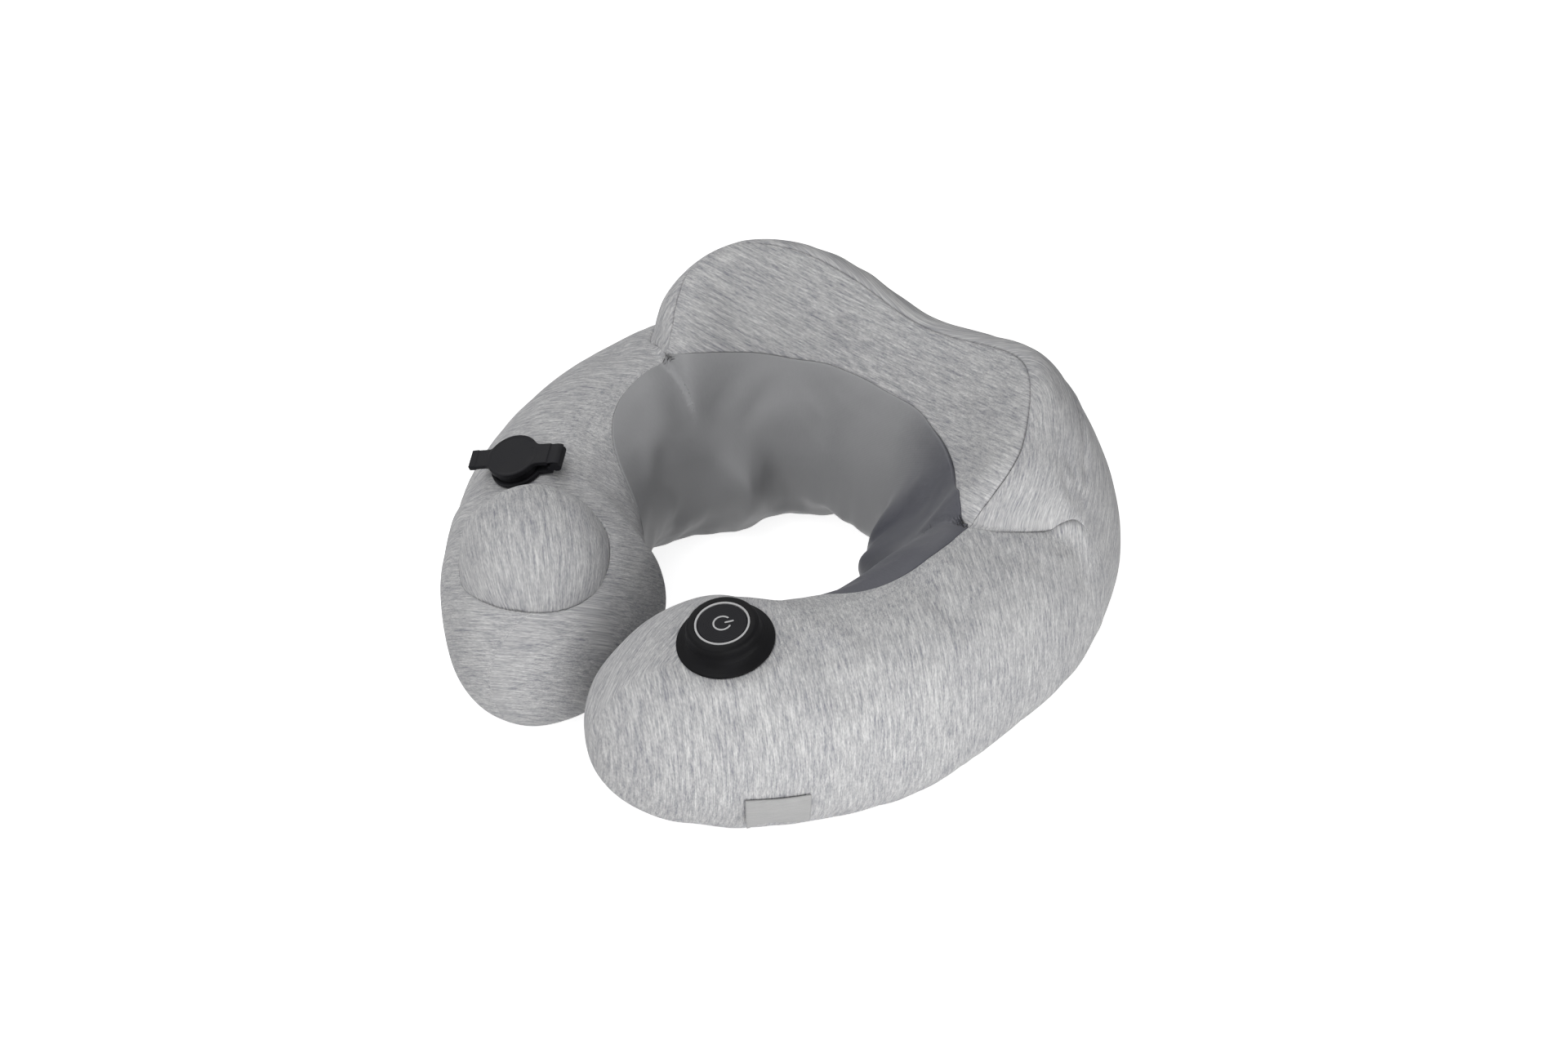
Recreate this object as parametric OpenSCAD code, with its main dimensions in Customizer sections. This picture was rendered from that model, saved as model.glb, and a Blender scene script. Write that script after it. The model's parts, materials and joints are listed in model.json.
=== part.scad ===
// Inflatable U-shaped neck pillow with two kneading units, press pump, air valve and button pod.
// Millimetres, +Z up. The neck axis is vertical, the headrest is at +Y and the arms close at -Y.

/* [Cushion ring] */
// Angle from the middle of the back to each arm tip
tip_angle = 176; // [168:0.5:177]
// Neck-side radius at the back
back_inner_r = 56; // [48:1:66]
// Outer radius at the back
back_outer_r = 151; // [130:1:170]
// Height of the ring at the back
back_height = 88; // [75:1:100]
// Neck-side radius at the shoulders
shoulder_inner_r = 66; // [58:1:74]
// Outer radius at the shoulders
shoulder_outer_r = 164; // [145:1:180]
// Height of the ring at the shoulders
shoulder_height = 98; // [85:1:110]
// Neck-side radius at the sides
side_inner_r = 63; // [56:1:72]
// Outer radius at the sides
side_outer_r = 150; // [135:1:170]
// Height of the ring at the sides
side_height = 102; // [85:1:115]
// Neck-side radius along the arms
arm_inner_r = 66; // [58:1:74]
// Outer radius along the arms
arm_outer_r = 160; // [145:1:180]
// Height of the arms
arm_height = 94; // [82:1:110]
// Neck-side radius at the arm tips
tip_inner_r = 58; // [50:1:66]
// Outer radius at the arm tips
tip_outer_r = 178; // [160:1:195]
// Height of the arm tips
tip_height = 89; // [80:1:105]
// Length over which an arm rounds off to its tip
tip_length = 46; // [30:1:60]
// Roundness of the arm tips
tip_power = 2.1; // [1.6:0.1:3]
// Squareness of the cross-section
section_power = 2.2; // [2:0.1:3]
// Height of the widest point as a share of the ring height
belly_share = 0.48; // [0.4:0.01:0.55]
// How far the rounded underside is flattened
base_flat = 9.6; // [5:0.1:15]

/* [Headrest] */
// Rise of the headrest above the ring
headrest_rise = 52; // [30:1:70]
// Angle at which the headrest falls back to the ring
headrest_end = 69; // [55:1:74]
// Squareness of the headrest outline
headrest_power = 4.6; // [2.5:0.1:6]
// Depth of the dip in the middle as a share of the rise
saddle_share = 0.27; // [0:0.01:0.5]
// Half angle of the dip
saddle_angle = 35; // [20:1:50]
// How early the headrest starts up the side
headrest_curl = 1.5; // [1.2:0.1:2]
// Outward lean of the headrest
headrest_lean = 0.14; // [0:0.01:0.3]
// Narrowing of the cross-section towards the headrest crest
headrest_narrow = 0.55; // [0.2:0.01:0.7]

/* [Sewn panels] */
// Thickness of the cover
fabric_t = 1.2; // [0.8:0.1:2]
// Gap between cover and bladder
skin_gap = 1.4; // [1:0.05:2]
// Gap between two sewn panels, as an angle at the seam
seam_gap = 0.25; // [0.2:0.05:0.6]
// Angle of the corner where liner, headrest and arm meet
corner_angle = 77; // [75:0.5:82]
// Section angle of the liner edge along the arms
liner_edge = 100; // [94:1:112]
// Height of the liner edge at the back
liner_height = 100; // [90:1:103]
// Angle at which the liner ends at the base
liner_end = 132; // [115:1:145]
// Angle of the back panel seam at the base
back_seam = 62; // [54:1:68]
// Length of the blank label
label_length = 28; // [18:1:40]
// Height of the blank label
label_height = 17; // [10:1:26]
// Thickness of the blank label
label_t = 0.8; // [0.5:0.1:1.5]
// Angle of the label on the right arm
label_angle = 139; // [120:1:150]
// Height of the middle of the label
label_z = 27; // [20:1:40]

/* [Press pump] */
// Angle of the pump on the left arm
pump_angle = 153.8; // [145:0.1:160]
// Distance of the pump outwards from the middle of the arm
pump_shift = 8.43; // [6:0.01:18]
// Depth of the middle of the dome under the top of the arm
pump_sink = 13.94; // [8:0.01:22]
// Lean of the pump
pump_tilt = 15; // [0:1:20]
// Direction of the lean of the pump
pump_turn = 46; // [0:1:90]
// Radius of the dome
dome_r = 34.6; // [28:0.1:37]
// Thickness of the dome
dome_t = 2; // [1.5:0.1:3]
// Length of the straight skirt under the dome
dome_skirt = 14; // [10:0.5:16]
// Travel of the dome when it is pressed
pump_travel = 20; // [12:1:22]
// Clearance between the dome and what is round it
dome_clear = 0.7; // [0.4:0.1:1.5]
// Wall of the pump cup
cup_wall = 1.2; // [0.8:0.1:2]
// Depth of the pump cup below the middle of the dome
cup_depth = 41; // [38:1:44]
// Depth at which the rim of the pump cup ends
cup_rim = 11; // [10:0.5:13]

/* [Air valve] */
// Angle of the valve on the left arm
valve_angle = 131; // [125:0.5:136]
// Distance of the valve outwards from the middle of the arm
valve_shift = 11.14; // [4:0.01:18]
// Height of the valve seat over the top of the arm
valve_lift = 0.3; // [-4:0.01:4]
// Lean of the valve
valve_tilt = 20; // [0:1:25]
// Direction of the lean of the valve
valve_turn = -20; // [-60:1:60]
// Direction of the tabs of the valve
tab_turn = 50; // [0:1:90]
// Radius of the cap disc
cap_r = 12.8; // [11:0.1:15]
// Thickness of the cap disc
cap_t = 3; // [2:0.1:4]
// Radius of the valve neck
neck_r = 11.4; // [9:0.1:12]
// Height of the valve neck above its seat
neck_h = 7; // [5:0.1:9]
// Radius of the air bore
bore_r = 6.5; // [5:0.1:7.5]
// Clearance round the plug
plug_clear = 0.6; // [0.4:0.1:1]
// Length of the plug
plug_h = 3.4; // [2:0.1:4]
// Width of the pull tab
pull_w = 10.5; // [8:0.5:13]
// Distance of the pull tab end from the middle of the cap
pull_reach = 22; // [18:0.5:26]
// Distance of the hinge from the middle of the cap
hinge_reach = 22; // [19:0.5:25]
// Width of the hinge tab
hinge_w = 12; // [10:0.5:14]
// Radius of the hinge pin
hinge_pin_r = 1.2; // [1:0.1:1.6]
// Radius of the hinge knuckles
knuckle_r = 2.6; // [2.2:0.1:3.2]

/* [Button pod] */
// Angle of the pod on the right arm
pod_angle = 150.5; // [144:0.5:156]
// Distance of the pod outwards from the middle of the arm
pod_shift = 4.79; // [2:0.01:14]
// Height of the brim edge over the top of the arm
pod_lift = -2.07; // [-4:0.01:4]
// Lean of the pod to the front
pod_tilt = 11; // [0:1:15]
// Direction of the charging socket
socket_turn = 138; // [90:1:180]
// Direction of the power symbol
mark_turn = -50; // [-180:1:180]
// Radius of the brim
brim_r = 22.3; // [20:0.1:24]
// Radius of the crown at its foot
crown_r = 17; // [16:0.1:18]
// Height of the pod above the brim edge
pod_h = 12; // [11:0.1:14]
// Radius of the button
button_r = 11.2; // [9:0.1:12]
// Travel of the button
button_travel = 0.8; // [0.4:0.1:1]
// Clearance round the button
button_clear = 0.3; // [0.2:0.05:0.5]
// Width of the light ring
ring_w = 1; // [0.8:0.1:1.5]
// Wall of the pod
pod_wall = 1.8; // [1.4:0.1:2.2]
// Radius of the battery cell
cell_r = 8.2; // [7:0.1:9]
// Length of the battery cell
cell_h = 34; // [28:0.5:36]

/* [Kneading units] */
// Angle of each kneading head from the back
head_angle = 28; // [26:0.5:34]
// Height of the head axis
head_z = 47; // [44:0.5:52]
// Distance of the node tips behind the neck face
node_depth = 5.02; // [4:0.01:9]
// Radius of one kneading node
node_r = 9; // [7:0.5:10]
// Distance of the nodes from the head axis
node_orbit = 13; // [11:0.5:14]
// Radius of the rotor plate
rotor_r = 21; // [18:0.5:23]
// Thickness of the rotor plate
rotor_t = 3.5; // [3:0.5:5]
// Radius of the head shaft
shaft_r = 3; // [2.5:0.1:4]
// Teeth of the worm wheel
wheel_teeth = 30; // [24:1:32]
// Tooth module
tooth_module = 1; // [0.8:0.05:1.1]
// Width of the worm wheel
wheel_w = 6; // [5:0.5:7]
// Pitch radius of the worm
worm_r = 4; // [3.5:0.1:4.5]
// Backlash of the gears, on the pitch line
backlash = 0.4; // [0.3:0.05:0.6]
// Clearance of running fits
run_clear = 0.1; // [0.05:0.01:0.2]
// Clearance between a moving and a still face
side_clear = 0.6; // [0.4:0.1:1]
// Wall of the gear shells
shell_wall = 2; // [1.5:0.1:3]
// Radius of the motor can
motor_r = 7.2; // [6:0.1:8]
// Length of the motor can
motor_h = 22; // [18:0.5:26]

/* [Fasteners and cable] */
// Shank radius of the screws
screw_r = 1; // [0.8:0.1:1.3]
// Head radius of the screws
screw_head_r = 1.9; // [1.5:0.1:2.2]
// Height of the screw heads
screw_head_h = 1.4; // [1:0.1:2]
// Radius of the cable
cable_r = 1.5; // [1:0.1:2]
// Radius of the cable channel round the neck axis
channel_r = 105; // [98:1:112]
// Clearance round the cable and in the bladder pockets
pocket_clear = 0.4; // [0.3:0.05:0.8]

/* [Hidden] */
$fn = 48;
inner_rs = [back_inner_r, shoulder_inner_r, side_inner_r, arm_inner_r, tip_inner_r];
outer_rs = [back_outer_r, shoulder_outer_r, side_outer_r, arm_outer_r, tip_outer_r];
ring_heights = [back_height, shoulder_height, side_height, arm_height, tip_height];
bladder_inset = fabric_t + skin_gap;
wheel_r = wheel_teeth * tooth_module / 2;
addendum = 0.9 * tooth_module;
dedendum = 1.15 * tooth_module;
worm_lead = PI * tooth_module;
centre_distance = wheel_r + worm_r;
wheel_twist = wheel_w * worm_lead / (2 * PI * worm_r) / wheel_r * 180 / PI;
tip_r = station(inner_rs, head_angle) + node_depth;
rotor_y = tip_r + node_r - 0.5;
rotor_back = rotor_y + rotor_t;
front_y = rotor_back + 2 * side_clear;
wheel_y = front_y + shell_wall + max(1.5 + side_clear, side_clear + motor_r - wheel_w / 2);
wheel_mid = wheel_y + wheel_w / 2;
split_y = wheel_mid;
rear_inner = max(wheel_y + wheel_w + side_clear, wheel_mid + motor_r + side_clear);
rear_y = rear_inner + shell_wall + 1.5;
gear_room = wheel_r + addendum + side_clear;
motor_z = max(14, worm_r + 10);
cup_r = dome_r + dome_clear + 0.3;
pump_hole_r = dome_r + dome_clear;
pod_hole_r = brim_r + pocket_clear;
crown_inner = crown_r - pod_wall;
plug_r = bore_r - plug_clear;
cap_z = neck_h + 0.2;
hinge_z = neck_h - 1.2;
ring_z = 1.6;
ring_t = 2;
strap_r = neck_r + 0.2;
board_r = crown_inner - 0.3;
board_z = 1.4;
board_t = 1.6;
cell_room = cell_r + 0.4;
cell_floor = -cell_h - 2.2;
cup_outer = cell_room + 3 + pod_wall;
screw_orbit = crown_inner + 2.1;

// Values of the ring

// Smooth curve through five stations from the back to the tip
function station(v, a) =
    let (x = 4 * abs(a) / tip_angle)
    let (i = min(floor(x), 3))
    let (t = x - i)
    let (p0 = i == 0 ? v[1] : v[i - 1])
    let (p1 = v[i])
    let (p2 = v[i + 1])
    let (p3 = i == 3 ? 2 * v[4] - v[3] : v[i + 2])
    (2 * p1 + (p2 - p0) * t + (2 * p0 - 5 * p1 + 4 * p2 - p3) * t * t
        + (3 * p1 - p0 - 3 * p2 + p3) * t * t * t) / 2;

function mid_r(a) = (station(inner_rs, a) + station(outer_rs, a)) / 2;
function half_w(a) = (station(outer_rs, a) - station(inner_rs, a)) / 2;
function mid_z(a) = belly_share * station(ring_heights, a);

// Share of the full section left at an angle near the tip
function end_share(a, inset) =
    let (s = max(0, (tip_angle - abs(a)) * PI / 180 * mid_r(a) - inset))
    let (t = min(1, s / (tip_length - inset)))
    pow(max(0, 1 - pow(1 - t, tip_power)), 1 / tip_power);

// Height of the top of an arm at a distance from the neck axis
function top_z(a, r) =
    let (k = end_share(a, 0))
    let (c = min(1, abs(r - mid_r(a)) / (half_w(a) * k)))
    let (high = (station(ring_heights, a) - mid_z(a)) * k)
    mid_z(a) + high * pow(1 - pow(c, section_power), 1 / section_power);

// Rise of the headrest at an angle
function rise(a, inset) =
    let (e = headrest_end - inset / mid_r(headrest_end) * 180 / PI)
    let (f = 1 - pow(min(1, abs(a) / e), headrest_power))
    headrest_rise * sqrt(max(0, f)) * (1 - saddle_share * exp(-pow(a / saddle_angle, 2)));

function signed_pow(x, p) = sign(x) * pow(abs(x), p);

// Point of the cushion skin about the neck axis: angle round the neck, angle round the section,
// distance inwards, and how much lower and shorter the headrest is
function ring_skin(a, th, inset, drop) =
    let (k = end_share(a, inset))
    let (up = rise(a, inset + drop) * (1 - drop / headrest_rise))
    let (c = signed_pow(cos(th), 2 / section_power))
    let (s = signed_pow(sin(th), 2 / section_power))
    let (top = max(0, s))
    let (low = mid_z(a) + base_flat - inset)
    let (high = station(ring_heights, a) - mid_z(a) - inset)
    let (curl = up * pow(top, headrest_curl))
    let (z = mid_z(a) + (s > 0 ? s * high : s * low) * k + curl)
    let (w = (half_w(a) - inset) * k * (1 - headrest_narrow * up / headrest_rise * top * top))
    let (r = mid_r(a) + c * w + headrest_lean * curl)
    [r * sin(a), r * cos(a), max(z, inset)];

// Places of the pump, the valve and the pod on the arms
pump_offset = mid_r(pump_angle) + pump_shift;
pump_z = top_z(pump_angle, pump_offset) - pump_sink;
valve_offset = mid_r(valve_angle) + valve_shift;
valve_z = top_z(valve_angle, valve_offset) + valve_lift;
pod_offset = mid_r(pod_angle) + pod_shift;
pod_z = top_z(pod_angle, pod_offset) + pod_lift;

// The neck axis lies this far behind the middle of the whole length
front_reach = max([for (i = [0 : 40]) -ring_skin(tip_angle - i, 0, 0, 0)[1]]);
back_reach = ring_skin(0, 0, 0, 0)[1];
neck_y = (front_reach - back_reach) / 2;

function skin(a, th, inset, drop = 0) = ring_skin(a, th, inset, drop) + [0, neck_y, 0];

// Section angle at which the skin leaves the flat base
function base_edge(a) =
    let (k = max(0.05, end_share(a, 0)))
    let (q = min(1, mid_z(a) / ((mid_z(a) + base_flat) * k)))
    min(86, asin(pow(q, section_power / 2)));

// Half width of the flat base at an angle
function base_half(a) =
    let (k = max(0.05, end_share(a, 0)))
    let (q = min(1, mid_z(a) / ((mid_z(a) + base_flat) * k)))
    half_w(a) * k * pow(1 - pow(q, section_power), 1 / section_power);

// Section angle on the neck side where the skin reaches a height
function height_angle(a, z, lo, hi, n) =
    let (m = (lo + hi) / 2)
    n == 0 ? m
        : skin(a, m, 0)[2] > z ? height_angle(a, z, m, hi, n - 1)
        : height_angle(a, z, lo, m, n - 1);

function liner_top(a) =
    let (h = height_angle(a, liner_height, 90, 180, 16))
    let (f = pow(min(1, abs(a) / corner_angle), 8))
    max(liner_edge, h * (1 - f) + liner_edge * f);

function ridge(a) =
    let (f = pow(min(1, abs(a) / corner_angle), 6))
    92 * (1 - f) + (liner_edge - 0.6) * f;

// Angle at which the liner ends on an arm, along the section angle
function liner_stop(th) =
    let (f = min(1, max(0, (235 - th) / (235 - liner_edge))))
    corner_angle + (liner_end - corner_angle) * pow(1 - pow(f, 2.6), 1 / 2.6);

// Angle of the back panel seam, along the section angle
function back_stop(th) =
    let (f = min(1, max(0, (liner_edge - th) / 70)))
    corner_angle + (back_seam - corner_angle) * f * f * (3 - 2 * f);

// Closed shell between two grids of points with m rows and n columns
module shell(outside, inside, m, n) {
    count = m * n;
    face_out = [for (i = [0 : m - 2]) for (j = [0 : n - 2]) each [
        [i * n + j, i * n + j + 1, (i + 1) * n + j + 1],
        [i * n + j, (i + 1) * n + j + 1, (i + 1) * n + j]]];
    face_in = [for (f = face_out) [f[0] + count, f[2] + count, f[1] + count]];
    rim = concat(
        [for (j = [0 : n - 2]) j],
        [for (i = [0 : m - 2]) i * n + n - 1],
        [for (j = [n - 1 : -1 : 1]) (m - 1) * n + j],
        [for (i = [m - 1 : -1 : 1]) i * n]);
    c = len(rim);
    face_rim = [for (i = [0 : c - 1]) each [
        [rim[i], rim[i] + count, rim[(i + 1) % c] + count],
        [rim[i], rim[(i + 1) % c] + count, rim[(i + 1) % c]]]];
    polyhedron(points = concat(outside, inside), faces = concat(face_out, face_in, face_rim));
}

// Places a piece on an arm: angle, distance, height, lean and direction of the lean
module on_arm(a, r, z, lean, turn) {
    translate([r * sin(a), r * cos(a) + neck_y, z])
        rotate([0, 0, turn])
            rotate([lean, 0, 0])
                children();
}

module at_pump() {
    on_arm(-pump_angle, pump_offset, pump_z, pump_tilt, pump_turn) children();
}

module at_valve() {
    on_arm(-valve_angle, valve_offset, valve_z, valve_tilt, valve_turn) children();
}

module at_pod() {
    on_arm(pod_angle, pod_offset, pod_z, pod_tilt, 0) children();
}

// Lays a flat outline upright, x along the ring and y upwards, from one distance to another
module upright(from, to) {
    translate([0, to, 0])
        rotate([90, 0, 0])
            linear_extrude(to - from)
                children();
}

// Round bar along the head axis from one distance to another
module bar(r, from, to) {
    translate([0, from, 0])
        rotate([-90, 0, 0])
            cylinder(r = r, h = to - from);
}

module at_head(side) {
    mirror([side < 0 ? 1 : 0, 0, 0])
        translate([0, neck_y, head_z])
            rotate([0, 0, -head_angle])
                children();
}

// Sewn panels

// Rows of the sections: up the outside to the liner edge, then down the neck side
low_rows = 11;
high_rows = 11;
row_power = 1.7;
arm_cols = 17;
strip_cols = 27;
liner_cols = 29;

function row_angle(i, a) =
    i <= low_rows
        ? -base_edge(a) + i / low_rows * (liner_edge + base_edge(a))
        : liner_edge + (180 + base_edge(a) - liner_edge) * pow((i - low_rows) / high_rows, row_power);

function arm_start(i) =
    let (th = row_angle(i, 100))
    (i <= low_rows ? back_stop(th) : liner_stop(th)) + seam_gap;

function arm_point(side, i, j, inset) =
    let (u = j / (arm_cols - 1))
    let (g = 0.55 * u + 0.45 * (1 - cos(180 * u)) / 2)
    let (a = arm_start(i) + (tip_angle - 0.12 - arm_start(i)) * g)
    let (p = skin(a, row_angle(i, a), inset))
    [side * p[0], p[1], p[2]];

function arm_grid(side, inset) =
    let (m = low_rows + high_rows)
    [for (i = [0 : m]) for (j = [0 : arm_cols - 1])
        arm_point(side, side > 0 ? i : m - i, j, inset)];

module arm_cover(side) {
    shell(arm_grid(side, 0), arm_grid(side, fabric_t), low_rows + high_rows + 1, arm_cols);
}

module cover_arm_left() {
    color("#bcbcbd")
    difference() {
        arm_cover(-1);
        at_pump() translate([0, 0, -cup_rim]) cylinder(r = pump_hole_r, h = 80);
        at_valve() translate([0, 0, -12]) cylinder(r = neck_r + pocket_clear, h = 40);
    }
}

module cover_arm_right() {
    color("#bcbcbd")
    difference() {
        arm_cover(1);
        at_pod() translate([0, 0, -30]) cylinder(r = pod_hole_r, h = 60);
    }
}

function strip_angle(j, end) = end * sin(90 * (2 * j / (strip_cols - 1) - 1));

front_rows = 4;

function front_point(i, j, inset) =
    let (a = strip_angle(j, corner_angle - 3.5))
    let (low = ridge(a) + 1.2)
    let (th = low + (liner_top(a) - 0.8 - low) * i / front_rows)
    skin(a, th, inset);

function front_grid(inset) =
    [for (i = [0 : front_rows]) for (j = [0 : strip_cols - 1]) front_point(i, j, inset)];

module headrest_front_panel() {
    color("#a2a3a6")
    shell(front_grid(0), front_grid(fabric_t), front_rows + 1, strip_cols);
}

function back_point(i, j, inset) =
    let (end = back_stop(row_angle(i, 100)))
    let (a = strip_angle(j, end - seam_gap))
    let (f = pow(abs(a) / end, 6))
    let (mid = -base_edge(a) + i / low_rows * (92 + base_edge(a)))
    skin(a, mid * (1 - f) + (row_angle(i, a) - 0.6 * i / low_rows) * f, inset);

function back_grid(inset) =
    [for (i = [0 : low_rows]) for (j = [0 : strip_cols - 1]) back_point(i, j, inset)];

module headrest_back_panel() {
    color("#b6b6b8")
    shell(back_grid(0), back_grid(fabric_t), low_rows + 1, strip_cols);
}

function liner_point(i, j, inset) =
    let (s = 2 * j / (liner_cols - 1) - 1)
    let (a = (liner_stop(row_angle(low_rows + i, 100)) - seam_gap) * s)
    let (top = liner_top(a) + 0.6)
    let (power = row_power - (row_power - 1.1) * sqrt(1 - abs(s)))
    let (th = top + (180 + base_edge(a) - top) * pow(i / high_rows, power))
    skin(a, th, inset);

function liner_grid(inset) =
    [for (i = [0 : high_rows]) for (j = [0 : liner_cols - 1]) liner_point(i, j, inset)];

module neck_liner() {
    color("#6c6d74")
    shell(liner_grid(0), liner_grid(fabric_t), high_rows + 1, liner_cols);
}

// Flat outline of the base, kept back from the side covers
base_margin = 3;
base_stop = tip_angle - 0.46 * tip_length / mid_r(tip_angle) * 180 / PI;

function base_outline(side) =
    [for (i = [0 : 56])
        let (u = i / 28 - 1)
        let (a = base_stop * (0.4 * u + 0.6 * sin(90 * u)))
        let (r = mid_r(a) + side * max(3, base_half(a) - base_margin))
        [r * sin(a), r * cos(a) + neck_y]];

module base_panel() {
    back = base_outline(1);
    color("#a9a9ab")
    linear_extrude(fabric_t)
        polygon(concat(base_outline(-1), [for (i = [len(back) - 1 : -1 : 0]) back[i]]));
}

// Section angle on the outside at which the skin is at a height below its widest point
function side_angle(a, z) = -asin(pow((mid_z(a) - z) / (mid_z(a) + base_flat), section_power / 2));

module blank_label() {
    low = skin(label_angle, side_angle(label_angle, label_z - label_height / 2), 0);
    high = skin(label_angle, side_angle(label_angle, label_z + label_height / 2), 0);
    near = skin(label_angle - 4, side_angle(label_angle - 4, label_z), 0);
    far = skin(label_angle + 4, side_angle(label_angle + 4, label_z), 0);
    mid = skin(label_angle, side_angle(label_angle, label_z), 0);
    turn = atan2(near[1] - far[1], near[0] - far[0]);
    out = [sin(turn), -cos(turn)];
    lean = atan2((high - low)[0] * out[0] + (high - low)[1] * out[1], label_height);
    color("#c0c0c0")
    translate(mid)
        rotate([0, 0, turn])
            rotate([lean, 0, 0])
                translate([-label_length / 2, -label_t - 0.05, -label_height / 2])
                    cube([label_length, label_t, label_height]);
}

// Bladder with the pockets for what sits in it

bladder_sides = 20;
headrest_drop = 4;
bladder_stop = tip_angle - bladder_inset / mid_r(tip_angle) * 180 / PI - 0.12;
end_step = headrest_end - (bladder_inset + headrest_drop) / mid_r(headrest_end) * 180 / PI;
half_angles = concat(
    [for (i = [0 : 5]) 0.78 * end_step * i / 5],
    [for (i = [1 : 5]) end_step * (0.78 + 0.22 * sin(18 * i))],
    [for (i = [1 : 13])
        end_step + (bladder_stop - end_step) * (0.5 * i / 13 + 0.5 * sin(90 * i / 13))]);
half_count = len(half_angles);
bladder_rings = 2 * half_count - 1;

function bladder_angle(j) =
    j < half_count ? -half_angles[half_count - 1 - j] : half_angles[j - half_count + 1];

module bladder_solid() {
    m = bladder_rings;
    n = bladder_sides;
    points = [for (j = [0 : m - 1]) for (i = [0 : n - 1])
        skin(bladder_angle(j), 360 * i / n, bladder_inset, headrest_drop)];
    side_faces = [for (j = [0 : m - 2]) for (i = [0 : n - 1]) each [
        [j * n + i, (j + 1) * n + (i + 1) % n, j * n + (i + 1) % n],
        [j * n + i, (j + 1) * n + i, (j + 1) * n + (i + 1) % n]]];
    first_cap = [for (i = [1 : n - 2]) [0, i, i + 1]];
    last_cap = [for (i = [1 : n - 2]) [(m - 1) * n, (m - 1) * n + i + 1, (m - 1) * n + i]];
    polyhedron(points = points, faces = concat(side_faces, first_cap, last_cap));
}

module air_bladder() {
    color("#8d9096")
    difference() {
        bladder_solid();
        at_pump()
            translate([0, 0, -cup_depth - pocket_clear])
                cylinder(r = cup_r + cup_wall + pocket_clear, h = 120);
        at_valve() translate([0, 0, -9 - pocket_clear]) cylinder(r = neck_r + 4 + pocket_clear, h = 40);
        at_pod() pod_pocket();
        at_head(1) head_pocket();
        at_head(-1) head_pocket();
        cable_room();
    }
}

module pod_pocket() {
    translate([0, 0, -6])
        cylinder(r = pod_hole_r, h = 60);
    translate([0, 0, cell_floor - pod_wall - pocket_clear])
        cylinder(r = cup_outer + pocket_clear, h = 60);
}

module head_pocket() {
    bar(rotor_r + 2, 40, front_y);
    upright(40, rear_y + pocket_clear) gear_outline(pocket_clear);
    screw_posts(40, rear_y + pocket_clear, post_r + pocket_clear);
}

// Press pump

// Half ball on a straight skirt
module dome_form(r, skirt) {
    intersection() {
        sphere(r = r, $fn = 72);
        translate([0, 0, r]) cube(2 * r, center = true);
    }
    translate([0, 0, -skirt]) cylinder(r = r, h = skirt, $fn = 72);
}

module pump_dome() {
    color("#b2b2b3")
    at_pump()
        difference() {
            dome_form(dome_r, dome_skirt);
            dome_form(dome_r - dome_t, dome_skirt + 1);
        }
}

module pump_foam() {
    color("#d8d6c8")
    at_pump()
        dome_form(dome_r - dome_t - 0.5, cup_depth - 3.6);
}

module pump_cup() {
    color("#5b5e63")
    at_pump()
        difference() {
            translate([0, 0, -cup_depth])
                cylinder(r = cup_r + cup_wall, h = cup_depth - cup_rim, $fn = 72);
            translate([0, 0, -cup_depth + 2]) cylinder(r = cup_r, h = cup_depth, $fn = 72);
            translate([0, 0, -cup_depth - 1]) cylinder(r = 3, h = 4);
        }
}

module pump_check_valve() {
    color("#2c2d30")
    at_pump() {
        translate([0, 0, -cup_depth + 2]) cylinder(r = 8, h = 1.2);
        translate([0, 0, -cup_depth + 0.2]) cylinder(r = 2.6, h = 1.9);
    }
}

// Air valve

module valve_body() {
    color("#2d2d32")
    difference() {
        at_valve()
            difference() {
                union() {
                    translate([0, 0, -9]) cylinder(r = neck_r + 4, h = 1.6);
                    translate([0, 0, -9]) cylinder(r = neck_r, h = 9 + neck_h);
                }
                translate([0, 0, -10]) cylinder(r = bore_r, h = 30);
            }
        at_pump()
            translate([0, 0, -cup_depth])
                cylinder(r = dome_r + pocket_clear, h = cup_depth);
    }
}

module valve_strap() {
    color("#2d2d32")
    at_valve() {
        difference() {
            union() {
                translate([0, 0, ring_z]) cylinder(r = strap_r + 1.6, h = ring_t);
                rotate([0, 0, tab_turn])
                    translate([neck_r, -2.4, ring_z])
                        cube([hinge_reach - neck_r, 4.8, ring_t]);
            }
            translate([0, 0, ring_z - 1]) cylinder(r = strap_r, h = ring_t + 2);
        }
        rotate([0, 0, tab_turn])
            translate([hinge_reach, 0, hinge_z])
                rotate([90, 0, 0]) {
                    cylinder(r = knuckle_r, h = 4.8, center = true);
                    cylinder(r = hinge_pin_r, h = hinge_w, center = true);
                }
        rotate([0, 0, tab_turn])
            translate([hinge_reach - 1.2, -2.4, ring_z])
                cube([2.4, 4.8, hinge_z - ring_z]);
    }
}

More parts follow.
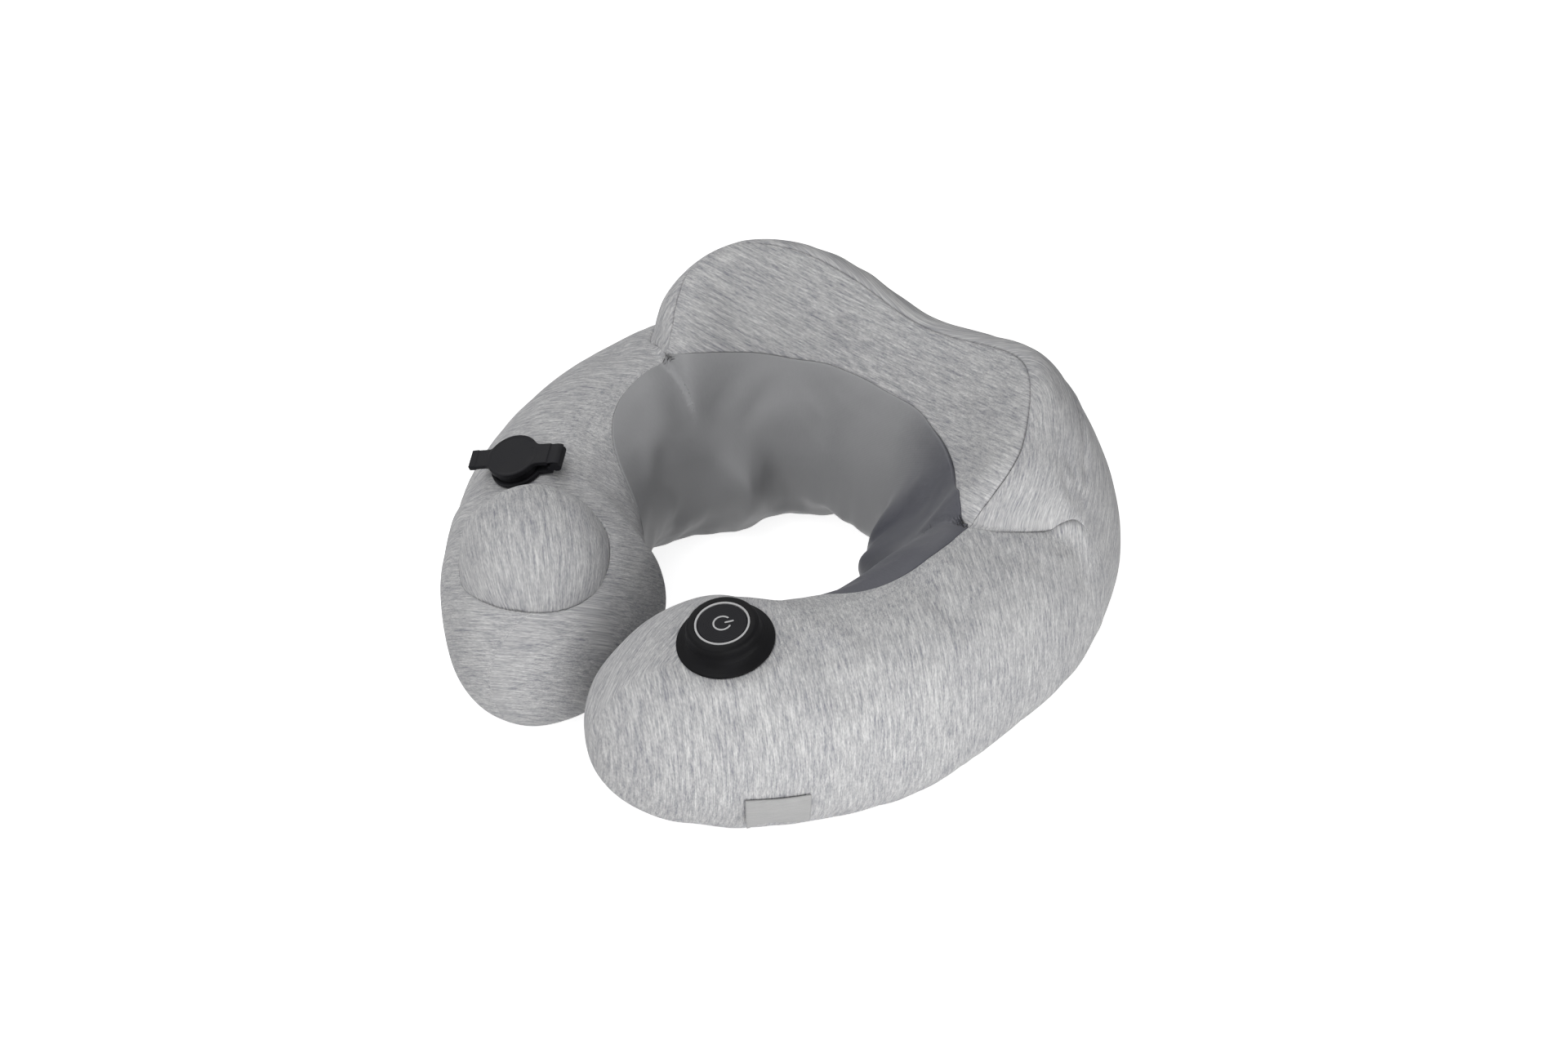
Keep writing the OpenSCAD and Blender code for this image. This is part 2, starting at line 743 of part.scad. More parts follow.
module valve_cap() {
    side_w = (hinge_w - 5.4) / 2;
    color("#2d2d32")
    at_valve() {
        translate([0, 0, cap_z]) cylinder(r = cap_r, h = cap_t);
        translate([0, 0, cap_z - plug_h]) cylinder(r1 = plug_r - 0.3, r2 = plug_r, h = plug_h + 0.1);
        rotate([0, 0, tab_turn]) {
            translate([-pull_reach, -pull_w / 2, cap_z + 0.2])
                cube([pull_reach - cap_r + 2, pull_w, cap_t - 1]);
            translate([cap_r - 2, -hinge_w / 2, cap_z + 0.4])
                cube([hinge_reach - knuckle_r - cap_r + 1.6, hinge_w, cap_t - 1]);
            difference() {
                for (s = [-1, 1])
                    translate([0, s * (hinge_w / 2 - side_w / 2), 0])
                        union() {
                            translate([hinge_reach, 0, hinge_z])
                                rotate([90, 0, 0])
                                    cylinder(r = knuckle_r, h = side_w, center = true);
                            translate([hinge_reach - knuckle_r - 0.6, -side_w / 2, hinge_z])
                                cube([knuckle_r + 0.6, side_w, cap_z + cap_t - 0.6 - hinge_z]);
                        }
                translate([hinge_reach, 0, hinge_z])
                    rotate([90, 0, 0])
                        cylinder(r = hinge_pin_r + run_clear, h = hinge_w + 2, center = true);
            }
        }
    }
}

// Button pod

module control_hat() {
    top_r = crown_r - 1.8;
    hole = button_r + button_clear + ring_w;
    color("#1e1f22")
    at_pod()
        difference() {
            rotate_extrude($fn = 72)
                polygon([
                    [crown_inner, 1.3],
                    [screw_orbit + 2.2, 1.3],
                    [brim_r - 2.2, 0],
                    [brim_r, 0],
                    [brim_r, 1],
                    [brim_r - 1.6, 1.9],
                    [crown_r + 2, 3.2],
                    [crown_r + 0.5, 4.4],
                    [crown_r, 6],
                    [crown_r - 0.4, pod_h - 2.2],
                    [crown_r - 0.9, pod_h - 0.9],
                    [top_r, pod_h - 0.1],
                    [hole, pod_h],
                    [hole, pod_h - 2.4],
                    [crown_inner, pod_h - 2.4 - 1]]);
            for (i = [0 : 2])
                rotate([0, 0, 120 * i + 30])
                    translate([screw_orbit, 0, 0])
                        cylinder(r = screw_r + 0.02, h = 3);
            rotate([0, 0, socket_turn])
                translate([crown_r - 4, -4.8, board_z + board_t - 0.1])
                    cube([8, 9.6, 3.6]);
        }
}

module light_ring() {
    r = button_r + button_clear;
    color("#f2f2f2")
    at_pod()
        translate([0, 0, pod_h - 2.4])
            difference() {
                cylinder(r = r + ring_w, h = 2.5, $fn = 72);
                translate([0, 0, -1]) cylinder(r = r, h = 5, $fn = 72);
            }
}

module power_button() {
    color("#16171a")
    at_pod() {
        translate([0, 0, pod_h - 3.6]) cylinder(r = button_r, h = 3.5, $fn = 72);
        translate([0, 0, pod_h - 4.6])
            cylinder(r = button_r + button_clear + ring_w * 0.7, h = 1, $fn = 72);
    }
}

module power_mark() {
    color("#f2f2f2")
    at_pod()
        translate([0, 0, pod_h - 0.1])
            rotate([0, 0, mark_turn]) {
                rotate([0, 0, 35])
                    rotate_extrude(angle = 290)
                        translate([2.9, 0])
                            square([0.7, 0.15]);
                translate([1.6, -0.35, 0]) cube([2.6, 0.7, 0.15]);
            }
}

module control_cup() {
    color("#2a2b2e")
    at_pod()
        difference() {
            union() {
                translate([0, 0, cell_floor - pod_wall])
                    cylinder(r = cup_outer, h = -cell_floor + pod_wall + 0.6);
                translate([0, 0, -0.6]) cylinder(r = screw_orbit + 2.1, h = 1.8);
                for (i = [0 : 2])
                    rotate([0, 0, 120 * i + 90])
                        translate([board_r - 3, 0, 1])
                            cylinder(r = 1.4, h = board_z - 1);
            }
            translate([0, 0, cell_floor]) cylinder(r = cell_room, h = 80);
            for (i = [0 : 2])
                rotate([0, 0, 120 * i + 30])
                    translate([screw_orbit, 0, -2])
                        cylinder(r = screw_r + run_clear, h = 5);
        }
}

module control_screws() {
    color("#9a9a9e")
    at_pod()
        for (i = [0 : 2])
            rotate([0, 0, 120 * i + 30])
                translate([screw_orbit, 0, 0]) {
                    translate([0, 0, -0.6 - screw_head_h]) cylinder(r = screw_head_r, h = screw_head_h);
                    translate([0, 0, -0.7]) cylinder(r = screw_r, h = 3.4);
                }
}

module control_board() {
    color("#2f6b3c")
    at_pod()
        translate([0, 0, board_z])
            difference() {
                cylinder(r = board_r, h = board_t);
                for (i = [0 : 2])
                    rotate([0, 0, 120 * i + 30])
                        translate([screw_orbit, 0, -1])
                            cylinder(r = screw_head_r + 1.2, h = 4);
            }
}

module tact_switch() {
    color("#3b3b3e")
    at_pod() {
        translate([-3, -3, board_z + board_t]) cube([6, 6, 2.6]);
        translate([0, 0, board_z + board_t + 2.5])
            cylinder(r = 1.7, h = pod_h - 4.6 - button_travel - 0.15 - board_z - board_t - 2.5);
    }
}

module charge_socket() {
    color("#b9bbbf")
    at_pod()
        rotate([0, 0, socket_turn])
            translate([crown_r - 7.6, 0, board_z + board_t])
                difference() {
                    translate([0, -4.4, 0]) cube([7.3, 8.8, 3.2]);
                    translate([1, -4, 0.4]) cube([8, 8, 2.4]);
                }
}

module battery_cell() {
    color("#3a5fa0")
    at_pod()
        translate([0, 0, cell_floor])
            cylinder(r = cell_r, h = cell_h);
}

// Kneading unit, built for the right side and mirrored for the left

module gear_outline(room = 0) {
    circle(r = gear_room + shell_wall + room);
    translate([box_left - room, -15 - room])
        square([box_right - box_left + 2 * room, box_top + 15 + 2 * room]);
}

module gear_inside() {
    circle(r = gear_room);
    translate([centre_distance - motor_r - side_clear, -15 + shell_wall])
        square([2 * (motor_r + side_clear), motor_z + motor_h + side_clear + 15 - shell_wall]);
}

post_r = 3.2;
post_orbit = (gear_room + shell_wall + 1) * sqrt(0.5);
box_left = centre_distance - motor_r - side_clear - shell_wall;
box_right = centre_distance + motor_r + side_clear + shell_wall;
box_top = motor_z + motor_h + side_clear + shell_wall;
screw_places = [
    [-post_orbit, -post_orbit],
    [-post_orbit, post_orbit],
    [box_left - 1.4, motor_z + motor_h / 2 + 2],
    [box_right + 1.4, -9]];

module screw_posts(from, to, r) {
    for (p = screw_places)
        translate([p[0], 0, p[1]])
            bar(r, from, to);
}

module knead_rotor(side) {
    color("#e3e1da")
    at_head(side) {
        difference() {
            union() {
                bar(rotor_r, rotor_y, rotor_back);
                bar(shaft_r + 3, rotor_y, rotor_back + side_clear);
            }
            bar(shaft_r, rotor_y - 1, rotor_back + 2);
        }
    }
}

module knead_nodes(side) {
    color("#c9574a")
    at_head(side)
        for (i = [0 : 2])
            rotate([0, 120 * i + 90, 0])
                translate([node_orbit, 0, 0])
                    intersection() {
                        translate([0, tip_r + node_r, 0]) sphere(r = node_r);
                        bar(node_r + 1, tip_r - 1, rotor_y);
                    }
}

module knead_shaft(side) {
    color("#b9bbbf")
    at_head(side)
        bar(shaft_r, rotor_y, rear_y - 0.6);
}

module tooth_ring() {
    pitch = 360 / wheel_teeth;
    half = (PI * tooth_module / 2 - backlash) / 2;
    tip_half = half - addendum * tan(20);
    root_half = half + dedendum * tan(20);
    ro = wheel_r + addendum;
    ri = wheel_r - dedendum;
    polygon([for (i = [0 : wheel_teeth - 1])
        let (m = (i + 0.5) * pitch)
        each [
            for (q = [[ri, -root_half], [ro, -tip_half], [ro, tip_half], [ri, root_half]])
                let (t = m + q[1] / q[0] * 180 / PI)
                [q[0] * cos(t), q[0] * sin(t)]]]);
}

module worm_wheel(side) {
    color("#e8e4d6")
    at_head(side)
        difference() {
            translate([0, wheel_y, 0])
                rotate([-90, 0, 0])
                    rotate([0, 0, -wheel_twist / 2])
                        linear_extrude(wheel_w, twist = -wheel_twist, slices = 2)
                            tooth_ring();
            bar(shaft_r, wheel_y - 1, wheel_y + wheel_w + 1);
        }
}

// Single-start thread: closed ribbon of four-point sections round the worm axis
module worm_thread(turns, per) {
    n = turns * per;
    half = (PI * tooth_module / 2 - backlash) / 2;
    ro = worm_r + addendum;
    ri = worm_r - dedendum - 0.35;
    ht = half - addendum * tan(20);
    hr = half + (worm_r - ri) * tan(20);
    points = [for (i = [0 : n])
        let (t = 180 + 360 * (i - n / 2) / per)
        let (z = worm_lead * (i - n / 2) / per)
        each [
            for (q = [[ri, -hr], [ro, -ht], [ro, ht], [ri, hr]])
                [q[0] * cos(t), q[0] * sin(t), z + q[1]]]];
    sides = [for (i = [0 : n - 1]) for (k = [0 : 3]) each [
        [4 * i + k, 4 * i + (k + 1) % 4, 4 * i + 4 + (k + 1) % 4],
        [4 * i + k, 4 * i + 4 + (k + 1) % 4, 4 * i + 4 + k]]];
    first = [[0, 2, 1], [0, 3, 2]];
    last = [[4 * n, 4 * n + 1, 4 * n + 2], [4 * n, 4 * n + 2, 4 * n + 3]];
    polyhedron(points = points, faces = concat(sides, first, last));
}

module worm(side) {
    color("#b8962e")
    at_head(side)
        translate([centre_distance, wheel_mid, 0]) {
            worm_thread(4, 12);
            translate([0, 0, -9]) cylinder(r = worm_r - dedendum, h = 18);
            translate([0, 0, -12.6]) cylinder(r = 1.5, h = 5);
            translate([0, 0, 8]) cylinder(r = 1.5, h = motor_z - 8 + 4);
        }
}

module gear_front_shell(side) {
    color("#33353a")
    at_head(side)
        difference() {
            union() {
                upright(front_y, split_y) gear_outline();
                screw_posts(front_y, split_y, post_r);
            }
            upright(front_y + shell_wall, split_y + 1) gear_inside();
            bar(shaft_r + 2, front_y - 1, split_y);
            screw_posts(split_y - 6, split_y + 1, screw_r);
            translate([centre_distance, split_y, -15]) cylinder(r = 1.6, h = 2.4);
        }
}

module gear_rear_shell(side) {
    color("#33353a")
    at_head(side)
        difference() {
            union() {
                upright(split_y, rear_y) gear_outline();
                screw_posts(split_y, rear_y, post_r);
            }
            upright(split_y - 1, rear_inner) gear_inside();
            bar(shaft_r + 2, rear_inner - 1, rear_y + 1);
            screw_posts(split_y - 1, rear_y + 1, screw_r + run_clear);
            screw_posts(rear_y - screw_head_h - 0.2, rear_y + 1, screw_head_r + 0.2);
            translate([centre_distance, split_y, -15]) cylinder(r = 1.6, h = 2.4);
            translate([0, split_y + 4, -gear_room - 5]) cylinder(r = cable_r + 0.3, h = 8);
        }
}

module shaft_bushes(side) {
    color("#b08d3a")
    at_head(side) {
        difference() {
            bar(shaft_r + 2, front_y, front_y + shell_wall + 1.2);
            bar(shaft_r + run_clear / 2, front_y - 1, split_y);
        }
        difference() {
            bar(shaft_r + 2, rear_inner - 0.4, rear_y);
            bar(shaft_r + run_clear / 2, rear_inner - 1, rear_y + 1);
        }
    }
}

module motor_can(side) {
    color("#c2c4c8")
    at_head(side)
        translate([centre_distance, wheel_mid, motor_z])
            difference() {
                cylinder(r = motor_r, h = motor_h);
                translate([0, 0, -1]) cylinder(r = 1.5 + run_clear, h = 6);
            }
}

module gear_screws(side) {
    color("#9a9a9e")
    at_head(side) {
        screw_posts(rear_y - screw_head_h - 0.2, rear_y - 0.2, screw_head_r);
        screw_posts(split_y - 5.5, rear_y - screw_head_h, screw_r);
    }
}

// Cable under the bladder, from the pod to both kneading units

cable_z = 4.4;
riser_y = split_y + 4;
riser_top = head_z - gear_room - shell_wall + 1;
pod_foot_z = pod_z + (cell_floor - pod_wall) * cos(pod_tilt) - 3;
pod_back = (cell_floor - pod_wall - 2) * sin(pod_tilt);
pod_foot = [pod_offset * sin(pod_angle), pod_offset * cos(pod_angle) - pod_back];
pod_foot_r = norm(pod_foot);
pod_foot_angle = atan2(pod_foot[0], pod_foot[1]);

// Cable run: arc under the bladder, short legs along the base and risers to the pod and the units
module cable_run(r) {
    translate([0, neck_y, cable_z]) {
        rotate([0, 0, 90 - pod_foot_angle - 1])
            rotate_extrude(angle = pod_foot_angle + head_angle + 2)
                translate([channel_r, 0])
                    circle(r = r, $fn = 24);
        rotate([0, 0, -pod_foot_angle]) {
            translate([0, channel_r, 0]) cable_leg(r, pod_foot_r - channel_r);
            translate([0, pod_foot_r, 0]) cylinder(r = r, h = pod_foot_z - cable_z);
        }
        for (a = [-head_angle, head_angle])
            rotate([0, 0, -a]) {
                translate([0, channel_r, 0]) cable_leg(r, riser_y - channel_r);
                translate([0, riser_y, 0]) cylinder(r = r, h = riser_top - cable_z);
            }
    }
}

module cable_leg(r, length) {
    rotate([length > 0 ? -90 : 90, 0, 0])
        cylinder(r = r, h = abs(length));
    translate([0, length, 0])
        sphere(r = r);
}

module cable_room() {
    r = cable_r + pocket_clear;
    translate([0, neck_y, 0]) {
        rotate([0, 0, 90 - pod_foot_angle - 2])
            rotate_extrude(angle = pod_foot_angle + head_angle + 4)
                translate([channel_r - r, -2])
                    square([2 * r, cable_z + r + 2]);
        rotate([0, 0, -pod_foot_angle]) leg_room(r, pod_foot_r, pod_foot_z + 3);
        for (a = [-head_angle, head_angle])
            rotate([0, 0, -a]) leg_room(r, riser_y, riser_top + 3);
    }
}

module leg_room(r, to, top) {
    translate([-r, min(to, channel_r) - r, -2])
        cube([2 * r, abs(to - channel_r) + 2 * r, cable_z + r + 2]);
    translate([0, to, 0])
        cylinder(r = r, h = top);
}

module wiring_harness() {
    color("#1f1f22")
    cable_run(cable_r);
}

cover_arm_left();
cover_arm_right();
headrest_front_panel();
headrest_back_panel();
neck_liner();
base_panel();
blank_label();
air_bladder();
pump_dome();
pump_foam();
pump_cup();
pump_check_valve();
valve_body();
valve_strap();
valve_cap();
control_hat();
light_ring();
power_button();
power_mark();
control_cup();
control_screws();
control_board();
tact_switch();
charge_socket();
battery_cell();
wiring_harness();
knead_rotor(-1);  // left_knead_rotor
knead_nodes(-1);  // left_knead_nodes
knead_shaft(-1);  // left_knead_shaft
worm_wheel(-1);  // left_worm_wheel
worm(-1);  // left_worm
gear_front_shell(-1);  // left_gear_front_shell
gear_rear_shell(-1);  // left_gear_rear_shell
shaft_bushes(-1);  // left_shaft_bushes
motor_can(-1);  // left_motor_can
gear_screws(-1);  // left_gear_screws
knead_rotor(1);  // right_knead_rotor
knead_nodes(1);  // right_knead_nodes
knead_shaft(1);  // right_knead_shaft
worm_wheel(1);  // right_worm_wheel
worm(1);  // right_worm
gear_front_shell(1);  // right_gear_front_shell
gear_rear_shell(1);  // right_gear_rear_shell
shaft_bushes(1);  // right_shaft_bushes
motor_can(1);  // right_motor_can
gear_screws(1);  // right_gear_screws
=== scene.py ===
"""Looks of the shiatsu neck massager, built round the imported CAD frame.

Shape functions work in millimetres in the part's frame; meshes are written in metres.
a is the angle round the neck in degrees, 0 at the back and positive to the arm with the pod.
th is the angle round the cushion's section: 0 outside, 90 on top, 180 on the neck side.
"""
import json
import math

import bmesh
import bpy
import numpy as np
from mathutils import Matrix, Vector
from mathutils.bvhtree import BVHTree
from mathutils.kdtree import KDTree

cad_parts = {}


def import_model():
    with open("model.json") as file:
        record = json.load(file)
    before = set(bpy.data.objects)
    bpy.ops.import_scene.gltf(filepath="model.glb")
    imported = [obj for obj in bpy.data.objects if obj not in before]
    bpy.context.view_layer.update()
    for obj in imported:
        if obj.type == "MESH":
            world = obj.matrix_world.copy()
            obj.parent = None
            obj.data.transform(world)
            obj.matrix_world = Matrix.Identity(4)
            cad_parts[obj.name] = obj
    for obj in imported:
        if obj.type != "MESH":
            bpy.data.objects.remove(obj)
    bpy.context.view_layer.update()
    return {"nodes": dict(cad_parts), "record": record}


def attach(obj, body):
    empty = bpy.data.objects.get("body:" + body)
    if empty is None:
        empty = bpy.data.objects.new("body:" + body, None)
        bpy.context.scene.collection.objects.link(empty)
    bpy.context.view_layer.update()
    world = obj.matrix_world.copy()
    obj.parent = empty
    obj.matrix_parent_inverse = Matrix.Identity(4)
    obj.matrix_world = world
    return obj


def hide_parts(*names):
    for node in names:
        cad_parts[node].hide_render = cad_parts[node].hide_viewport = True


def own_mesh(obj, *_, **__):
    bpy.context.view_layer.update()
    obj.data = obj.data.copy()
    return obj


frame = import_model()
scene = bpy.context.scene

# Cushion

NECK_Y = 4.8123  # axis of the neck hole
TIP = 176.0  # angle of the arms' tips
END_R, END_POWER = 46.0, 2.1  # length and form of the rounded tips
CORNER = {-1: 77.0, 1: 79.0}  # angle where four panels meet, on each side
EDGE = {-1: 102.0, 1: 98.4}  # section angle there
INNER = np.array([56, 66, 63, 66, 58.0])  # radii and height at five stations from the back to a tip
OUTER = np.array([151, 164, 150, 160, 178.0])
HEIGHT = np.array([88, 98, 102, 94, 89.0])
MID = 0.48  # share of the height where the section is widest
SECTION = 2.2  # power of the section's rounded form
BASE_FLAT = 9.6  # what the flat base cuts off the section
RISE = 52.0  # headrest above the cushion
CREST_R = 107.0  # radius at its crest, for insets
LINER_END, LINER_LOW = 132.0, 235.0  # angle and section angle where the liner's side seams end
FABRIC = 1.2
WAVES = 14  # sine waves in a ripple


def station(v, a):
    """Smooth value at an angle, from five stations."""
    x = 4 * np.abs(a) / TIP
    i = np.minimum(x.astype(int), 3)
    t = x - i
    p0 = np.where(i == 0, v[1], v[np.maximum(i - 1, 0)])
    p1, p2 = v[i], v[i + 1]
    p3 = np.where(i == 3, 2 * v[4] - v[3], v[np.minimum(i + 2, 4)])
    return (2 * p1 + (p2 - p0) * t + (2 * p0 - 5 * p1 + 4 * p2 - p3) * t**2
            + (3 * p1 - p0 - 3 * p2 + p3) * t**3) / 2


def mid_r(a):
    return (station(INNER, a) + station(OUTER, a)) / 2


def half_w(a):
    return (station(OUTER, a) - station(INNER, a)) / 2


def mid_z(a):
    return MID * station(HEIGHT, a)


def end_share(a, inset=0.0):
    """Share of the full section that is left in a rounded tip."""
    s = np.maximum(0, np.radians(TIP - np.abs(a)) * mid_r(a) - inset)
    t = np.minimum(1, s / (END_R - inset))
    return np.maximum(0, 1 - (1 - t)**END_POWER)**(1 / END_POWER)


def curve(x, points):
    """Smooth curve through (x, y) points."""
    px, py = np.array(points, float).T
    x = np.clip(x, px[0], px[-1])
    slope = np.gradient(py, px)
    i = np.clip(np.searchsorted(px, x) - 1, 0, len(px) - 2)
    h = px[i + 1] - px[i]
    t = (x - px[i]) / h
    return ((2 * t**3 - 3 * t**2 + 1) * py[i] + (t**3 - 2 * t**2 + t) * h * slope[i]
            + (3 * t**2 - 2 * t**3) * py[i + 1] + (t**3 - t**2) * h * slope[i + 1])


def norm(x):
    return np.linalg.norm(x, axis=-1)


def stack(*parts):
    return np.stack(parts, -1)


def hump(x, at, wide):
    return np.exp(-((x - at) / wide)**2)


def smooth(x):
    x = np.clip(x, 0, 1)
    return x * x * (3 - 2 * x)


def back_stop(th, side):
    """Angle round the neck of the seam between the headrest's back panel and an arm."""
    a = curve(th, [(-90, 62), (-30, 62), (10, 62.5), (30, 63.2), (44.8, 64.6), (52, 66.6), (63, 69.2), (72, 72.5),
                   (82.6, 75.6), (93, 76.8), (105, 77)])
    return a + (CORNER[side] - CORNER[-1]) * smooth((th - 78) / 20)


def rise(a, th, inset=0.0):
    """Extra height of the headrest, which ends near the seam with the arm."""
    e = curve(th, [(-90, 66.3), (30, 66.5), (44.8, 67.3), (52, 67.9), (63, 69), (72, 71.8), (82.6, 75.3), (93, 77.2),
                   (105, 77.8)]) - math.degrees(inset / CREST_R)
    f = np.maximum(0, 1 - np.minimum(1, np.abs(a) / e)**4.6)
    q = 0.5 + 0.3 * smooth((th - 70) / 30)
    f = ((f + 0.02)**q - 0.02**q) / (1.02**q - 0.02**q)
    own = 0.05 * hump(a, 38, 13) - 0.09 * hump(a, 61, 8)
    return RISE * f * (1 - 0.27 * hump(a, 0, 35) + own)


def signed_pow(x, p):
    return np.sign(x) * np.abs(x)**p


def skin(a, th, inset=0.0):
    """Points of the cushion's own surface, as in the CAD, or of one inside it."""
    a, th = np.broadcast_arrays(np.asarray(a, float), np.asarray(th, float))
    k, up = end_share(a, inset), rise(a, th, inset)
    c = signed_pow(np.cos(np.radians(th)), 2 / SECTION)
    s = signed_pow(np.sin(np.radians(th)), 2 / SECTION)
    top = np.maximum(0, s)
    low = mid_z(a) + BASE_FLAT - inset
    high = station(HEIGHT, a) - mid_z(a) - inset
    curl = up * top**1.5
    z = mid_z(a) + np.where(s > 0, s * high, s * low) * k + curl
    w = (half_w(a) - inset) * k * (1 - 0.55 * up / RISE * top**2)
    r = mid_r(a) + c * w + 0.14 * curl
    ar = np.radians(a)
    return stack(r * np.sin(ar), r * np.cos(ar) + NECK_Y, np.maximum(z, inset))


def normal(a, th):
    d = 0.35
    pa = skin(a + d, th) - skin(a - d, th)
    pt = skin(a, th + d) - skin(a, th - d)
    n = np.cross(pa, pt)
    ar = np.radians(a)
    centre = stack(mid_r(a) * np.sin(ar), mid_r(a) * np.cos(ar) + NECK_Y, mid_z(a) + 0.4 * rise(a, 90.0))
    n *= np.sign(np.sum(n * (skin(a, th) - centre), -1))[..., None]
    return n / np.maximum(norm(n), 1e-9)[..., None]


def base_cut(a):
    """Share of the section left by the tip, and how far down its lower half the base lies."""
    k = np.maximum(0.05, end_share(a))
    return k, np.minimum(1, mid_z(a) / ((mid_z(a) + BASE_FLAT) * k))


def base_edge(a):
    """Section angle of the base's edge, below the horizontal."""
    return np.minimum(89.9, np.degrees(np.arcsin(base_cut(a)[1]**(SECTION / 2))))


def base_half(a):
    """Half width of the flat base."""
    k, q = base_cut(a)
    return half_w(a) * k * (1 - q**SECTION)**(1 / SECTION)


def liner_top(a):
    """Section angle of the liner's top seam."""
    return curve(a, [
        (-77, 102), (-76.2, 108.5), (-75, 114.5), (-73.6, 120), (-71.2, 126.3), (-68, 132), (-63.8, 136.6),
        (-58, 140.5), (-51, 142.9), (-38, 144.4), (-23, 140.5), (-6, 136.8), (14, 139), (27.5, 145.5), (45, 148.9),
        (53.3, 146.9), (60, 142.3), (66.6, 134.6), (71, 125.5), (73.4, 119.7), (75.6, 112.4), (76.9, 108),
        (78.2, 103), (79, 98.4)])


def ridge(a):
    """Section angle of the seam along the headrest's crest."""
    return curve(a, [
        (-77, 101.6), (-75.7, 102.7), (-74.1, 101), (-71.7, 97), (-68.8, 92.6), (-66.1, 88), (-63, 84),
        (-59.6, 81.5), (-54, 84), (-46, 91), (-33, 97.8), (-19, 98.4), (0, 98.5), (20, 100), (37, 102),
        (44.8, 103.2), (52.3, 101.2), (59.5, 96.1), (64.4, 93), (68, 92.5), (70.8, 93.1), (72.9, 94.4),
        (74.7, 95.8), (76.2, 97.2), (77.6, 98), (79, 98.1)])


def liner_stop(th, side):
    """Angle round the neck of the seam between the liner and an arm."""
    f = np.clip((LINER_LOW - th) / (LINER_LOW - EDGE[side]), 0, 1)
    full = 2.6 if side < 0 else 5.0
    return CORNER[side] + (LINER_END - CORNER[side]) * (1 - f**full)**(1 / full)


def ripple(p, wavelength, seed):
    """Smooth seeded noise of about one unit, with that wavelength in millimetres."""
    rng = np.random.default_rng(seed)
    k = rng.normal(size=(WAVES, p.shape[-1]))
    k *= (2 * math.pi / wavelength * rng.uniform(0.7, 1.3, WAVES) / norm(k))[:, None]
    return np.sin(p @ k.T + rng.uniform(0, 6.28, WAVES)).sum(-1) * math.sqrt(2 / WAVES) * 0.6


# Places of the hard pieces on the arms

def place(origin, turn, lean):
    """Origin and axes of a hard piece's own frame."""
    m = Matrix.Rotation(math.radians(turn), 3, "Z") @ Matrix.Rotation(math.radians(lean), 3, "X")
    return np.array(origin), np.array(m)


PUMP = place((-54.7476, -106.4495, 76.9999), 46, 15)
VALVE = place((-93.5878, -76.5423, 93.4955), -20, 20)
POD = place((59.0898, -99.6286, 89.5006), 0, 11)
DOME_R, SKIRT = 34.6, 10
FOAM_R, FOAM_H = 32.0, 37.4


def local(p, at):
    return (p - at[0]) @ at[1]


def world(q, at):
    return np.asarray(q) @ at[1].T + at[0]


# Meshes

def add_object(name, data):
    obj = bpy.data.objects.new(name, data)
    scene.collection.objects.link(obj)
    return obj


def new_object(name, verts, faces, uv=None, smooth_faces=True):
    """Mesh object from points in millimetres, with the fabric's grain as its UV map."""
    mesh = bpy.data.meshes.new(name)
    mesh.from_pydata((np.reshape(verts, (-1, 3)) / 1000).tolist(), [], faces)
    if uv is not None:
        layer = mesh.uv_layers.new(name="grain")
        index = np.empty(len(mesh.loops), np.int32)
        mesh.loops.foreach_get("vertex_index", index)
        layer.data.foreach_set("uv", np.reshape(uv, (-1, 2)).astype(np.float32)[index].ravel())
    if smooth_faces:
        mesh.polygons.foreach_set("use_smooth", np.ones(len(mesh.polygons), bool))
    mesh.update()
    return add_object(name, mesh)


def grid_faces(m, n, wrap=False, flip=False):
    i, j = np.meshgrid(np.arange(m - 1), np.arange(n if wrap else n - 1), indexing="ij")
    k = (j + 1) % n
    quads = stack(i * n + j, i * n + k, (i + 1) * n + k, (i + 1) * n + j).reshape(-1, 4)
    return (quads[:, ::-1] if flip else quads).tolist()


def circle(n):
    return np.linspace(0, 2 * np.pi, n + 1)[:-1]


def face_out(obj, weld=False):
    """Turns the faces outwards, after welding double points if asked."""
    bm = bmesh.new()
    bm.from_mesh(obj.data)
    if weld:
        bmesh.ops.remove_doubles(bm, verts=bm.verts, dist=1e-6)
    bmesh.ops.recalc_face_normals(bm, faces=bm.faces)
    bm.to_mesh(obj.data)
    bm.free()
    return obj


def apply_modifiers(obj):
    dg = bpy.context.evaluated_depsgraph_get()
    mesh = bpy.data.meshes.new_from_object(obj.evaluated_get(dg))
    obj.modifiers.clear()
    old, obj.data = obj.data, mesh
    bpy.data.meshes.remove(old)


def remesh(obj, voxel, rounds=0):
    """Even skin of small faces over an object, with its edges softened."""
    skin_over = obj.modifiers.new("remesh", "REMESH")
    skin_over.mode, skin_over.voxel_size, skin_over.use_smooth_shade = "VOXEL", voxel / 1000, True
    if rounds:
        soft = obj.modifiers.new("soften", "SMOOTH")
        soft.factor, soft.iterations = 0.5, rounds
    apply_modifiers(obj)


FIRST_STEPS = np.array([0, 0.7, 1.5, 2.4, 3.6, 5.2, 7.2])  # millimetres from a sewn edge


def spread(n, length, ends=(True, True)):
    """About n shares from 0 to 1 of a length, with small first steps at the sewn ends."""
    u = np.linspace(0, 1, n)
    near = FIRST_STEPS / length
    keep = u[(u > near[-1] * ends[0] + 1e-9) & (u < 1 - near[-1] * ends[1] - 1e-9)]
    parts = [near if ends[0] else [0.0], keep, (1 - near[::-1]) if ends[1] else [1.0]]
    return np.unique(np.concatenate(parts))


